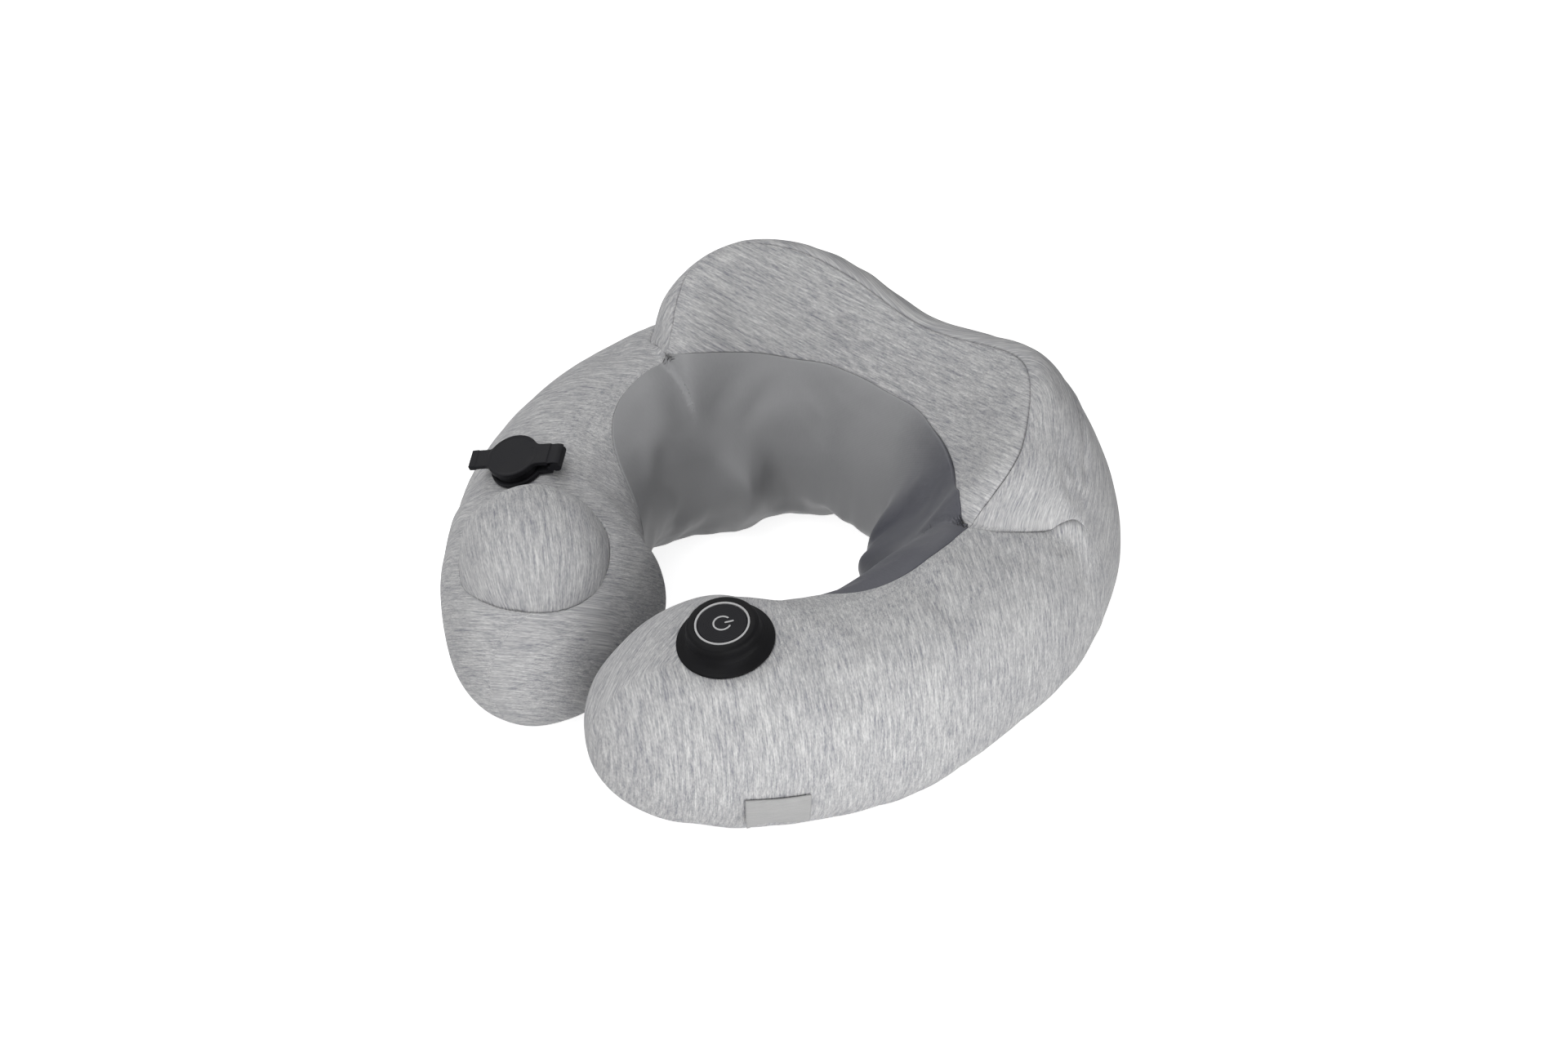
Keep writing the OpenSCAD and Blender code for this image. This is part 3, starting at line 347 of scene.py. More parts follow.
# Camera at the photograph's place

def make_camera(lens=66.45, shift=(0.0022, 0.0023), azimuth=41.0, elevation=39.0, roll=0.52, distance=1.3959):
    data = bpy.data.cameras.new("photo_camera")
    data.lens, data.sensor_width = lens, 36
    data.shift_x, data.shift_y = shift
    az, el = math.radians(azimuth), math.radians(elevation)
    back = Vector((math.sin(az) * math.cos(el), -math.cos(az) * math.cos(el), math.sin(el)))
    target = Vector((0, NECK_Y / 1000, 0.06))
    scene.camera = obj = add_object("photo_camera", data)
    obj.matrix_world = (Matrix.Translation(target + back * distance)
                        @ (-back).to_track_quat("-Z", "Y").to_matrix().to_4x4()
                        @ Matrix.Rotation(math.radians(roll), 4, "Z"))


make_camera()


# Cloth simulation of the inflated cushion: how far the cover moves along its normal

def seam_points():
    """Points along every seam, on the skin."""
    a = np.linspace(-CORNER[-1], CORNER[1], 200)
    out = [skin(a, ridge(a)), skin(a, liner_top(a))]
    for side in (-1, 1):
        th, down = np.linspace(50, EDGE[side], 90), np.linspace(EDGE[side], 250, 120)
        out += [skin(side * back_stop(th, side), th), skin(side * liner_stop(down, side), down)]
    return np.concatenate(out)


def tree_of(points):
    tree = KDTree(len(points))
    for i, p in enumerate(points):
        tree.insert(p, i)
    tree.balance()
    return tree


def coords(mesh, what="co"):
    out = np.empty(len(mesh.vertices) * 3)
    mesh.vertices.foreach_get(what, out)
    return out.reshape(-1, 3)


SEAMS = tree_of(seam_points())
FRAMES = 20  # of the simulation
MOST_IN, MOST_OUT = -6, 9  # movement that is kept


def seam_gap(p):
    return np.array([SEAMS.find(q)[2] for q in p])


def simulate():
    """Rest points of the bag and how far each one moves outwards, in millimetres."""
    rows, crowd, stop = 150, 0.93, 0.9985
    a = TIP * np.sin(np.linspace(-1, 1, rows) * math.pi / 2 * crowd) / math.sin(math.pi / 2 * crowd) * stop
    a = 0.5 * a + 0.5 * np.linspace(-TIP, TIP, rows) * stop
    th = np.linspace(0, 360, 73)[:-1]
    grid = skin(a[:, None], th[None, :], 1.0)
    m, n = len(a), len(th)
    faces = grid_faces(m, n, True) + [list(range(n)), list(range((m - 1) * n, m * n))[::-1]]
    bag = new_object("bag", grid, faces)
    remesh(bag, 4.5)
    rest = coords(bag.data) * 1000
    pin = np.clip((8 - seam_gap(rest)) / 4, 0, 1)
    pin = np.maximum(pin, np.clip((6 - rest[:, 2]) / 3, 0, 1))
    for at, r in ((PUMP, 34), (POD, 23), (VALVE, 14)):
        q = local(rest, at)
        far = np.hypot(q[:, 0], q[:, 1]) - r
        pin = np.maximum(pin, np.where(q[:, 2] > -30, np.clip((6 - far) / 4, 0, 1), 0))
    group = bag.vertex_groups.new(name="pin")
    for i in np.nonzero(pin > 0.01)[0]:
        group.add([int(i)], float(pin[i]), "REPLACE")
    cloth = bag.modifiers.new("cloth", "CLOTH")
    s = cloth.settings
    s.quality, s.mass = 6, 0.2
    s.tension_stiffness = s.compression_stiffness = 15
    s.shear_stiffness, s.bending_stiffness = 8, 4
    s.use_pressure, s.uniform_pressure_force = True, 4
    s.shrink_min = -0.01
    s.vertex_group_mass, s.pin_stiffness = "pin", 1
    s.effector_weights.gravity = 0
    cloth.collision_settings.use_collision = False
    cloth.point_cache.frame_start, cloth.point_cache.frame_end = 1, FRAMES
    for f in range(1, FRAMES + 1):
        scene.frame_set(f)
    apply_modifiers(bag)
    scene.frame_set(1)
    out = np.sum((coords(bag.data) * 1000 - rest) * coords(bag.data, "normal"), -1)
    bpy.data.objects.remove(bag)
    return rest, np.clip(out, MOST_IN, MOST_OUT)


class Swell:
    """The simulated movement, less most of its median, read at any point of the skin."""
    NEAREST = 18

    def __init__(self):
        self.tree = None
        rest, self.out = simulate()
        self.out = self.out - 0.7 * np.median(self.out)
        self.tree = tree_of(rest)

    def at(self, p):
        if self.tree is None:
            return np.zeros(p.shape[:-1])
        res = []
        for q in p.reshape(-1, 3):
            near = self.tree.find_n(q, self.NEAREST)
            w = (1.0001 - np.array([d for _, _, d in near]) / near[-1][2])**2
            res.append(w @ self.out[[k for _, k, _ in near]] / w.sum())
        return np.array(res).reshape(p.shape[:-1])


swell = Swell()


# Panels

ROLL = 1.6  # radius of a rolled edge at a seam
FLUSH = 161.0  # angle from where the seams lie flush towards a tip
LOW_OUTSIDE, HARDLY = 62, 0.04  # section angle below which the side seams hardly draw in
BACK_GAP, LINER_GAP, RIDGE_GAP, TOP_GAP = 0.03, 0.1, 0.12, 0.05  # half gaps at the seams, in degrees
ACROSS_X, ACROSS_Y = 0.574, 0.819  # direction across the arms' knit
BACK_R, LINER_R = 150, 64  # radii of the grain of the back panel and the liner


def seam_dip(d, along, seed):
    """Inward pull of the cover at a distance from its sewn edge: a rolled edge, a soft valley and puckers."""
    roll = np.where(d < ROLL, ROLL - np.sqrt(np.maximum(0, ROLL**2 - (ROLL - np.minimum(d, ROLL))**2)), 0)
    q = along[..., None]
    wave = 0.6 * ripple(q, 13, seed) + 0.4 * ripple(q, 7.5, seed + 1)
    return roll + (0.5 + 0.2 * ripple(q, 45, seed + 2)) * np.exp(-(d / 8)**1.5) + 0.16 * wave * np.exp(-d / 6)


def lengths(p, axis):
    step = norm(np.diff(p, axis=axis))
    zero = np.zeros_like(np.take(step, [0], axis))
    return np.concatenate([zero, np.cumsum(step, axis)], axis)


def outward(p):
    """Common relief of the cover: swelling of the simulation and soft unevenness."""
    return swell.at(p) + 0.5 * ripple(p, 70, 5) + 0.16 * ripple(p, 27, 9)


def crease(p, ends, wide, depth):
    """Depth of a soft fold along a line on the skin between two (a, th) points."""
    q0, q1 = (skin(np.array([a]), np.array([th]))[0] for a, th in ends)
    run = q1 - q0
    t = ((p - q0) @ run) / (run @ run)
    d = norm(p - q0 - np.clip(t, 0, 1)[..., None] * run)
    bend = d - 0.10 * np.linalg.norm(run) * np.sin(math.pi * np.clip(t, 0, 1))
    return depth * hump(bend, 0, wide) * smooth(1.15 - np.abs(2 * t - 1))


def groove(p, path, wide, depth):
    """Depth of a soft line on the skin through (a, th) points, fading at its ends."""
    steps = 60
    x = np.linspace(0, len(path) - 1, steps)
    line = [skin(*(np.array([np.interp(k, range(len(path)), v)]) for v in np.array(path).T))[0] for k in x]
    tree = tree_of(line)
    hit = [tree.find(q)[1:] for q in p.reshape(-1, 3)]
    d = np.array([h[1] for h in hit]).reshape(p.shape[:-1])
    k = np.array([h[0] for h in hit]).reshape(p.shape[:-1]) / (steps - 1)
    return depth * hump(d, 0, wide) * smooth(4 * np.minimum(k, 1 - k) + 0.15)


def draw(th):
    """How far the side seams draw the cover in: fully over the top, hardly at all low outside and along the liner."""
    inner = np.where(th < 97, 0.4 + 0.6 * smooth((96 - th) / 14), 0.4 * (1 - smooth((th - 97) / 3)))
    outer = HARDLY + (1 - HARDLY) * smooth((th - 36) / 12)
    return np.where(th < LOW_OUTSIDE, outer, inner + 0.3 * smooth((th - 112) / 20))


def corner_gap(p):
    """Distance to the nearer corner where four panels meet."""
    return np.min([norm(p - skin(k * CORNER[k], EDGE[k])) for k in (-1, 1)], 0)


def before_tip(a):
    return 1 - smooth((np.abs(a) - FLUSH) / 6)


def dress(a, th, sewn, seed, extra=None):
    """Finished points of a panel from its grid of angles. sewn says how far each edge is drawn in at its seam: first
    row, last row, first column, last column. Returns points, normals and the distances along the grid."""
    p, n = skin(a, th), normal(a, th)
    s0, s1 = lengths(p, 0), lengths(p, 1)
    dip = np.zeros(a.shape)
    corner = corner_gap(p)
    tip = before_tip(a) * (0.1 + 0.9 * smooth((corner - 1) / 14))
    side = draw(th) * (0.15 + 0.85 * smooth((corner - 2) / 16))
    for flag, d, along, k in ((sewn[0], s0, s1, tip), (sewn[1], s0[-1:] - s0, s1, tip),
                              (sewn[2], s1, s0, side), (sewn[3], s1[:, -1:] - s1, s0, side)):
        if flag:
            dip = np.maximum(dip, flag * k * seam_dip(d, along, seed))
        seed += 7
    out = outward(p) - dip
    if extra is not None:
        out = out + extra(a, th, p)
    return p + n * out[..., None], n, s0, s1


SHALLOW, DEEP = 0.2, 3.2  # depth of a tucked edge at the corners and tips, and elsewhere


def tuck(p, n, a, th, sewn):
    """Adds a row inside each sewn edge, so that the seam closes below the surface, or laps where it lies flush."""
    own = SHALLOW + (DEEP - SHALLOW) * (before_tip(a) * smooth(corner_gap(p) / 12))[..., None]
    rows = (sewn[0], sewn[1], 0, 0)
    th, side = pad(th, rows), pad(own[..., 0], rows)[..., None]
    lap = np.where(th < LOW_OUTSIDE, 1 - smooth((draw(th) - HARDLY) / 0.5), 0)[..., None]
    if sewn[0]:
        p, n = np.concatenate([p[:1] - n[:1] * own[:1], p]), np.concatenate([n[:1], n])
    if sewn[1]:
        p, n = np.concatenate([p, p[-1:] - n[-1:] * own[-1:]]), np.concatenate([n, n[-1:]])

    def edge(i, j):
        run = p[:, i] - p[:, j]
        run = run / np.maximum(norm(run), 1e-6)[:, None]
        k = lap[:, i]
        return (p[:, i] + run * 4 * k - n[:, i] * (side[:, i] * (1 - k) + 0.8 * k))[:, None]

    first, last = edge(0, 1), edge(-1, -2)
    return np.concatenate(([first] if sewn[2] else []) + [p] + ([last] if sewn[3] else []), 1)


def pad(x, sewn):
    """Values of a panel's grid, repeated for the rows and columns that tuck adds."""
    edges = [int(k > 0) for k in sewn]
    return np.pad(x, (edges[:2], edges[2:]), mode="edge")


def panel(name, a, th, sewn, seed, grain, flip=False, extra=None, shape=None):
    p, n, s0, s1 = dress(a, th, sewn, seed, extra)
    if shape is not None:
        p = shape(p)
    uv = grain(a, th, p, s0, s1)
    uv = stack(pad(uv[..., 0], sewn), pad(uv[..., 1], sewn))
    p = tuck(p, n, a, th, sewn)
    return new_object(name, p, grid_faces(*p.shape[:2], flip=flip), uv)


def seat(p, at, r, reach, h):
    """Draws the cover to a height in a hard piece's own frame, near that piece."""
    q = local(p, at)
    far = np.hypot(q[..., 0], q[..., 1]) - r
    w = smooth(1 - far / reach) * smooth((q[..., 2] - h + 20) / 14)
    q[..., 2] += (h - q[..., 2]) * w
    return world(q, at)


def cut_hole(obj, at, r, lip):
    """Opens a round hole: faces inside go, the rim is drawn to the circle and turned in by lip steps (r, h)."""
    def draw_to(v, r, down=0.0):
        x, y, z = local(np.array(v.co) * 1000, at)
        d = math.hypot(x, y)
        v.co = Vector(world([x * r / d, y * r / d, z - down], at) / 1000)

    bm = bmesh.new()
    bm.from_mesh(obj.data)
    q = local(np.array([v.co for v in bm.verts]) * 1000, at)
    inside = (np.hypot(q[:, 0], q[:, 1]) < r) & (q[:, 2] > -14)
    moved = {v.index for v, hit in zip(bm.verts, inside) if hit}
    for f in [f for f in bm.faces if all(v.index in moved for v in f.verts)]:
        bm.faces.remove(f)
    for e in [e for e in bm.edges if not e.link_faces]:
        bm.edges.remove(e)
    for v in [v for v in bm.verts if not v.link_faces]:
        bm.verts.remove(v)
    for v in [v for v in bm.verts if v.index in moved]:
        draw_to(v, r)
        v.tag = True
    rim = [e for e in bm.edges if e.is_boundary and all(v.tag for v in e.verts)]
    for step_r, step_h in lip:
        grown = bmesh.ops.extrude_edge_only(bm, edges=rim)["geom"]
        for v in (g for g in grown if isinstance(g, bmesh.types.BMVert)):
            draw_to(v, step_r, step_h)
        rim = [g for g in grown if isinstance(g, bmesh.types.BMEdge)]
    bmesh.ops.recalc_face_normals(bm, faces=bm.faces)
    for f in bm.faces:
        f.smooth = True
    bm.to_mesh(obj.data)
    bm.free()


def thicken(obj, t=FABRIC):
    mod = obj.modifiers.new("cloth_thickness", "SOLIDIFY")
    mod.thickness, mod.offset = t / 1000, -1
    return obj


def row_angles(u, a):
    """Section angle from the outer base edge over the top to the inner base edge, u from 0 to 1."""
    e = base_edge(a)
    return -e + u * (180 + 2 * e)


def even_rows(at, share, edge, length):
    """Row shares and a side edge's angles there, at even steps along that edge."""
    step = np.hypot(length * np.diff(share), np.diff(edge))
    m = np.concatenate([[0], np.cumsum(step)])
    return [np.interp(at, m / m[-1], x) for x in (share, edge)]


def lower_band(a, th):
    """Soft fullness low on the outside of the arms."""
    return 0.9 * smooth(1 - np.abs(th + 22) / 16) * smooth((150 - np.abs(a)) / 30)


def arm(side):
    """Cover of an arm: rows from its outer base edge to the inner one, columns from the side seams to the tip."""
    v = spread(124, 230, (True, False))
    t = np.linspace(0, 1, 1500)
    th = np.concatenate([-90 + (EDGE[side] + 90) * t, EDGE[side] + (270 - EDGE[side]) * t[1:]**5])
    start = np.where(th <= EDGE[side], back_stop(th, side) + BACK_GAP, liner_stop(th, side) + LINER_GAP)
    e = base_edge(start)
    u = np.clip((th + e) / (180 + 2 * e), 0, 1)
    at = spread(200, 350)
    u, start = even_rows(at, u, start, 290)
    turn = np.argmin(np.abs(start - np.interp(EDGE[side] + 8, th, liner_stop(th, side))))
    fan = np.interp(at, [0, at[turn], 1], [0, u[turn], 1]) - u
    g = 1 - (1 - v)**1.8
    a = start[:, None] + (TIP - 1e-4 - start[:, None]) * g[None, :]
    th = row_angles(u[:, None] + fan[:, None] * (1 - np.maximum(0, 1 - v / 0.4)**2)[None, :], a)

    def grain(a, th, p, s0, s1):
        x, y, z = side * p[..., 0], p[..., 1], p[..., 2]
        v = ACROSS_X * x + ACROSS_Y * y
        if side < 0:
            v = v + smooth((np.abs(a) - 118) / 26) * (z - 92)
        else:
            turned_by = np.maximum(0, -ACROSS_Y * (x - 62) + ACROSS_X * (y + 104))
            v = v - smooth((np.abs(a) - 138) / 24) * turned_by
        return stack(s0, v)

    def folds(a, th, p):
        out = lower_band(a, th)
        for ends, wide, depth in ARM_FOLDS[side]:
            out = out - crease(p, ends, wide, depth)
        return out + 2.2 * np.exp(-((a - 136) / 16)**2 - ((th - 108) / 18)**2)

    def shape(p):
        if side > 0:
            ar = np.arctan2(p[..., 0], p[..., 1] - NECK_Y)
            far = 6 * smooth((np.degrees(np.abs(ar)) - 146) / 30)
            p = p + far[..., None] * stack(np.cos(ar), -np.sin(ar), 0 * ar)
            return seat(p, POD, 21.5, 15, -0.45)
        p = seat(p, VALVE, 13, 10, 0.1)
        q = local(p, PUMP)
        far = np.hypot(q[..., 0], q[..., 1]) - DOME_R
        lift = np.where(q[..., 2] > -30, 0.6 * hump(far, 4, 4), 0)
        return p + lift[..., None] * PUMP[1][:, 2]

    name = "knit_arm_right" if side > 0 else "knit_arm_left"
    obj = panel(name, side * a, th, (1, 1, 1, 0), 11 + side, grain, side < 0, folds, shape)
    if side > 0:
        cut_hole(obj, POD, 20.6, [(20.4, 0.8)])
    else:
        lip = ((0.75, 0.35), (0.45, 1.2), (0.4, 2.6), (0.4, 6))
        cut_hole(obj, PUMP, DOME_R + 1.2, [(DOME_R + gap, down) for gap, down in lip])
        cut_hole(obj, VALVE, 11.9, [(11.75, 0.8)])
    return thicken(obj)


ARM_FOLDS = {  # ends (a, th), width and depth
    1: [(((73, 58), (66, 40)), 2.6, 1.1), (((79, 88), (84, 60)), 4.0, 0.7), (((70, 20), (78, 4)), 5.0, 0.9),
        (((96, 150), (106, 118)), 4.0, 0.6)],
    -1: [(((-78, 88), (-86, 62)), 4.0, 0.7), (((-70, 25), (-80, 2)), 5.0, 0.9), (((-146, 20), (-158, 48)), 5.0, 0.6),
         (((-128, 150), (-140, 128)), 4.0, 0.6)],
}


def headrest_front():
    """Lens between the ridge seam and the liner's top."""
    v = np.linspace(0, 1, 260)
    a = np.sin(math.pi / 2 * (2 * v - 1))
    a = (np.where(a < 0, CORNER[-1], CORNER[1]) - LINER_GAP) * a
    u = spread(48, 62)
    gap = smooth((liner_top(a) - ridge(a)) / 5)
    low, high = ridge(a) + RIDGE_GAP * gap, liner_top(a) - TOP_GAP * gap
    th = low[None, :] + (high - low)[None, :] * u[:, None]

    def grain(a, th, p, s0, s1):
        return stack(p[..., 0], 0.707 * (p[..., 1] + p[..., 2]))

    a = np.broadcast_to(a[None, :], th.shape).copy()
    return thicken(panel("knit_headrest_front", a, th, (0.8, 0.2, 0, 0), 31, grain, True))


def headrest_back():
    """Panel from the base at the back up to the ridge seam."""
    s = np.sin(math.pi / 2 * (2 * spread(260, 420) - 1))
    u = spread(88, 170)
    stop = {}
    for side in (-1, 1):
        stop[side] = np.full_like(u, 70.0)
        for _ in range(5):
            e = base_edge(stop[side])
            stop[side] = back_stop(-e + u * (EDGE[side] + e), side) - BACK_GAP
    a = np.where(s[None, :] < 0, stop[-1][:, None], stop[1][:, None]) * s[None, :]
    e = base_edge(a)
    far = np.where(s < 0, CORNER[-1], CORNER[1]) * s
    th = -e + u[:, None] * ((ridge(far) - RIDGE_GAP)[None, :] + e)

    def grain(a, th, p, s0, s1):
        def lean(a):
            return np.radians(33 * np.sin(np.radians(np.clip(a / 60, -1, 1) * 90)))

        fine = np.linspace(-80, 80, 400)
        drift = np.interp(a, fine, np.cumsum(np.sin(lean(fine))) * np.radians(fine[1] - fine[0])) * BACK_R
        c, d = np.cos(lean(a)), np.sin(lean(a))
        return stack(np.radians(a) * BACK_R * c - s0 * d, s0 * c + drift)

    def folds(a, th, p):
        out = np.zeros_like(a)
        for side in (-1, 1):
            path = [(side * x, y) for x, y in ((64.4, 44.6), (61, 44), (56.8, 45.7), (53, 49.8),
                                                (49.3, 53.8), (45, 57), (41, 60), (37, 62))]
            out = out - groove(p, path, 1.8, 1.5) + groove(p, [(x, y - 4) for x, y in path], 3.2, 0.7)
            for (a0, th0), (a1, th1), wide, depth in (((58, 70), (63, 44), 3.2, 1.0), ((52, 30), (61, 8), 5.0, 0.9)):
                out = out - crease(p, ((side * a0, th0), (side * a1, th1)), wide, depth)
        return out

    return thicken(panel("knit_headrest_back", a, th, (1, 0.8, 1, 1), 51, grain, True, folds))


def bulge(a, z):
    """How far the neck side stands in from the plain skin: over the kneading heads, and back between them."""
    low, under = smooth((86 - z) / 56), smooth((30 - z) / 22)
    out = 13 * hump(a, -59, 14) * low + 7 * np.exp(-((a + 56) / 17)**2 - ((z - 46) / 22)**2)
    out += 26 * np.exp(-((a - 52) / 25)**4 - ((z - 38) / 32)**2)
    out -= 14 * hump(a, -13, 14) * under + 6 * hump(a, -98, 9) * under
    out -= 5 * hump(a, 14, 13) * under
    q = np.asarray(a)[..., None]
    return out + smooth((62 - z) / 50) * (0.8 * ripple(q, 19, 71) + 0.3 * ripple(q, 9, 72))


def about_neck(p):
    """Angle round the neck, and distance from its axis."""
    x, y = p[..., 0], p[..., 1] - NECK_Y
    return np.degrees(np.arctan2(x, y)), np.hypot(x, y)


def draw_in(p, share=1.0):
    """Points brought towards the neck by the bulge."""
    a, r = about_neck(p)
    k = 1 - bulge(a, p[..., 2]) * share / r
    return stack(p[..., 0] * k, (p[..., 1] - NECK_Y) * k + NECK_Y, p[..., 2])


def liner():
    s = 2 * spread(220, 330) - 1
    u = np.linspace(0, 1, 1500)**5
    full = 180 + base_edge(np.array([100.0]))
    at = spread(140, 200)
    left, right = (even_rows(at, u, liner_stop(EDGE[k] + (full - EDGE[k]) * u, k) - LINER_GAP, 150) for k in (-1, 1))
    own, stop = (np.where(s[None, :] < 0, left[i][:, None], right[i][:, None]) for i in (0, 1))
    a = stop * s
    top = liner_top(a) + TOP_GAP
    share = at[:, None] + (own - at[:, None]) * np.maximum(0, (np.abs(s) - 0.6) / 0.4)**2
    th = top + (180 + base_edge(a) - top) * share

    def grain(a, th, p, s0, s1):
        return stack(s0, np.radians(a) * LINER_R)

    return thicken(panel("slate_liner", a, th, (0.2, 1, 0.3, 0.3), 81, grain, True, None, draw_in))


def base():
    """Flat U under the cushion, with its edges turned up to the seams."""
    stop = TIP - math.degrees(0.46 * END_R / float(mid_r(np.array(TIP))))
    s = np.linspace(-1, 1, 220)
    a = stop * (0.4 * s + 0.6 * np.sin(np.pi / 2 * s))
    t = 2 * spread(36, 60) - 1
    r = mid_r(a)[None, :] + t[:, None] * np.maximum(3, base_half(a) - 1.6)[None, :]
    ar = np.radians(a)[None, :]
    edge = (1 - np.abs(t))[:, None] * base_half(a)[None, :]
    xy = stack(r * np.sin(ar), r * np.cos(ar) + NECK_Y)
    z = 0.25 + 1.7 * np.exp(-(edge / 2.2)**1.4) + 0.12 * (1 + ripple(xy, 30, 3))
    p = draw_in(np.concatenate([xy, z[..., None]], -1), ((1 - t)[:, None] / 2)**3)
    return thicken(new_object("knit_base", p, grid_faces(*p.shape[:2], flip=True), p[..., :2]))


def seat_on(obj, p, n):
    """Points brought along their normals onto another piece's surface."""
    tree = BVHTree.FromPolygons(coords(obj.data) * 1000, [f.vertices[:] for f in obj.data.polygons])
    spots = p.reshape(-1, 3).copy()
    for i, out in enumerate(n.reshape(-1, 3)):
        hit = tree.ray_cast(Vector(spots[i] + out * 15), Vector(-out), 30)[0]
        if hit:
            spots[i] = hit
    return spots.reshape(p.shape)


LABEL_A, LABEL_Z = (133.9, 144.1), (17.8, 38.0)  # the label's place on the right arm
LABEL_GRAIN = 28, 17  # length and height of its weave
LABEL_T = 0.7


def label(cover):
    a, z = np.meshgrid(np.linspace(*LABEL_A, 40), np.linspace(*LABEL_Z, 30), indexing="xy")
    th = -np.degrees(np.arcsin(((mid_z(a) - z) / (mid_z(a) + BASE_FLAT))**(SECTION / 2)))
    p, n = skin(a, th), normal(a, th)
    u = (a - a.min()) / (a.max() - a.min())
    v = (z - z.min()) / (z.max() - z.min())
    hem = np.minimum(np.minimum(u, 1 - u) * LABEL_GRAIN[0], np.minimum(v, 1 - v) * LABEL_GRAIN[1])
    lift = 0.85 + 0.35 * smooth(hem / 2.2) + 1.5 * smooth((u - 0.8) / 0.2)**2 * (1 - v) + 0.12 * ripple(p, 9, 4)
    p = seat_on(cover, p, n) + n * lift[..., None]
    uv = stack(u, v) * LABEL_GRAIN
    return thicken(new_object("woven_label", p, grid_faces(*p.shape[:2]), uv), LABEL_T)


def turned(profile, n=96, closed=False):
    """Points and faces of a turned solid from (radius, height) points, or of a ring from its closed section."""
    v = [(r * math.cos(x), r * math.sin(x), h) for r, h in profile for x in circle(n)]
    last = len(v) - n
    if closed:
        ends = [[last + k, last + (k + 1) % n, (k + 1) % n, k] for k in range(n)]
    else:
        ends = [list(range(n))[::-1], list(range(last, last + n))]
    return v, grid_faces(len(profile), n, True) + ends


def lathe(name, profile, at, segments=96, uv=None):
    """Turned form in a hard piece's own frame, without end faces."""
    q = np.array(turned(profile, segments)[0])
    faces = grid_faces(len(profile), segments, True)
    return face_out(new_object(name, world(q, at), faces, uv and uv(q)), True)


def dome():
    """Press-pump dome with its skirt, and a few soft folds over it."""
    along, across = np.array([0.79, -0.61, 0]), np.array([0.61, 0.79, 0])
    polar = np.concatenate([np.linspace(0.01, 1, 64) * 90, np.full(8, 90.0)])
    skirt = np.concatenate([np.zeros(64), np.linspace(1, SKIRT, 8)])
    t = circle(160)
    po, sk = np.radians(polar)[:, None], skirt[:, None]
    unit = stack(np.sin(po) * np.cos(t), np.sin(po) * np.sin(t), np.cos(po) * np.ones_like(t))
    flat = stack(unit[..., 0] * DOME_R, unit[..., 1] * DOME_R, unit[..., 2] * DOME_R - sk)
    p = world(flat.reshape(-1, 3), PUMP).reshape(flat.shape)
    side = (p - PUMP[0]) @ across
    run = (p - PUMP[0]) @ along
    out = -0.35 + 0.35 * ripple(p, 26, 21) + 0.12 * ripple(p, 11, 22)
    for at, wide, depth, end in ((8.5, 1.1, 0.5, -12), (15.0, 0.9, 0.3, -5), (-17, 1.2, 0.28, -16)):
        out -= depth * hump(side - 0.06 * run, at, wide) * smooth((end + 34 - np.abs(run - end)) / 20)
    p = p + (unit * out[..., None]) @ PUMP[1].T
    even = (po * DOME_R + sk) / np.maximum(np.sin(po) * DOME_R, 1e-6)
    uv = stack(run * even, side * even)
    faces = grid_faces(len(polar), len(t), True) + [list(range(len(t)))[::-1]]
    return thicken(new_object("knit_pump_dome", p, faces, uv))


def foam():
    arc = np.radians(np.linspace(0.1, 90, 30))
    prof = [(FOAM_R * math.sin(x), FOAM_R * math.cos(x)) for x in arc]
    prof += [(FOAM_R - 0.5 * math.sin(x)**2, -x * 36.6 / 3.0) for x in np.linspace(0.2, 3.0, 16)]
    prof += [(30.5, -37.3), (20, -FOAM_H), (0.1, -FOAM_H)]
    return lathe("foam_spring", prof, PUMP)


def fillet(points, r, closed=False):
    """Polyline with each corner rounded."""
    pts = [np.array(q, float) for q in points]
    n, out = len(pts), []
    for i, q in enumerate(pts):
        if not closed and i in (0, n - 1):
            out.append(q)
            continue
        b, c = pts[i - 1] - q, pts[(i + 1) % n] - q
        lb, lc = np.linalg.norm(b), np.linalg.norm(c)
        k = min(r, 0.48 * lb, 0.48 * lc)
        s, e = q + b / lb * k, q + c / lc * k
        for t in np.linspace(0, 1, 6):
            out.append((1 - t)**2 * s + 2 * t * (1 - t) * q + t**2 * e)
    return np.array(out)


def boxed(x0, x1, y0, y1, z0, z1):
    v = [(x, y, z) for x in (x0, x1) for y in (y0, y1) for z in (z0, z1)]
    return v, [(0, 1, 3, 2), (4, 6, 7, 5), (0, 4, 5, 1), (2, 3, 7, 6), (0, 2, 6, 4), (1, 5, 7, 3)]


def prism(outline, low, high, lying=False):
    """Points and faces of a prism: upright on an (x, y) outline, or lying along y on an (x, z) outline."""
    n = len(outline)
    v = [(x, h, y) if lying else (x, y, h) for h in (low, high) for x, y in outline]
    return v, grid_faces(2, n, True) + [list(range(n))[::-1], list(range(n, 2 * n))]


def join(parts):
    verts, faces = [], []
    for v, f in parts:
        faces += [[k + len(verts) for k in q] for q in f]
        verts += v
    return np.array(verts), faces


def moulding(name, parts, at):
    """Solids joined into one moulded form with soft edges."""
    verts, faces = join(parts)
    obj = face_out(new_object(name, world(verts, at), faces))
    remesh(obj, 0.28, 5)
    return obj


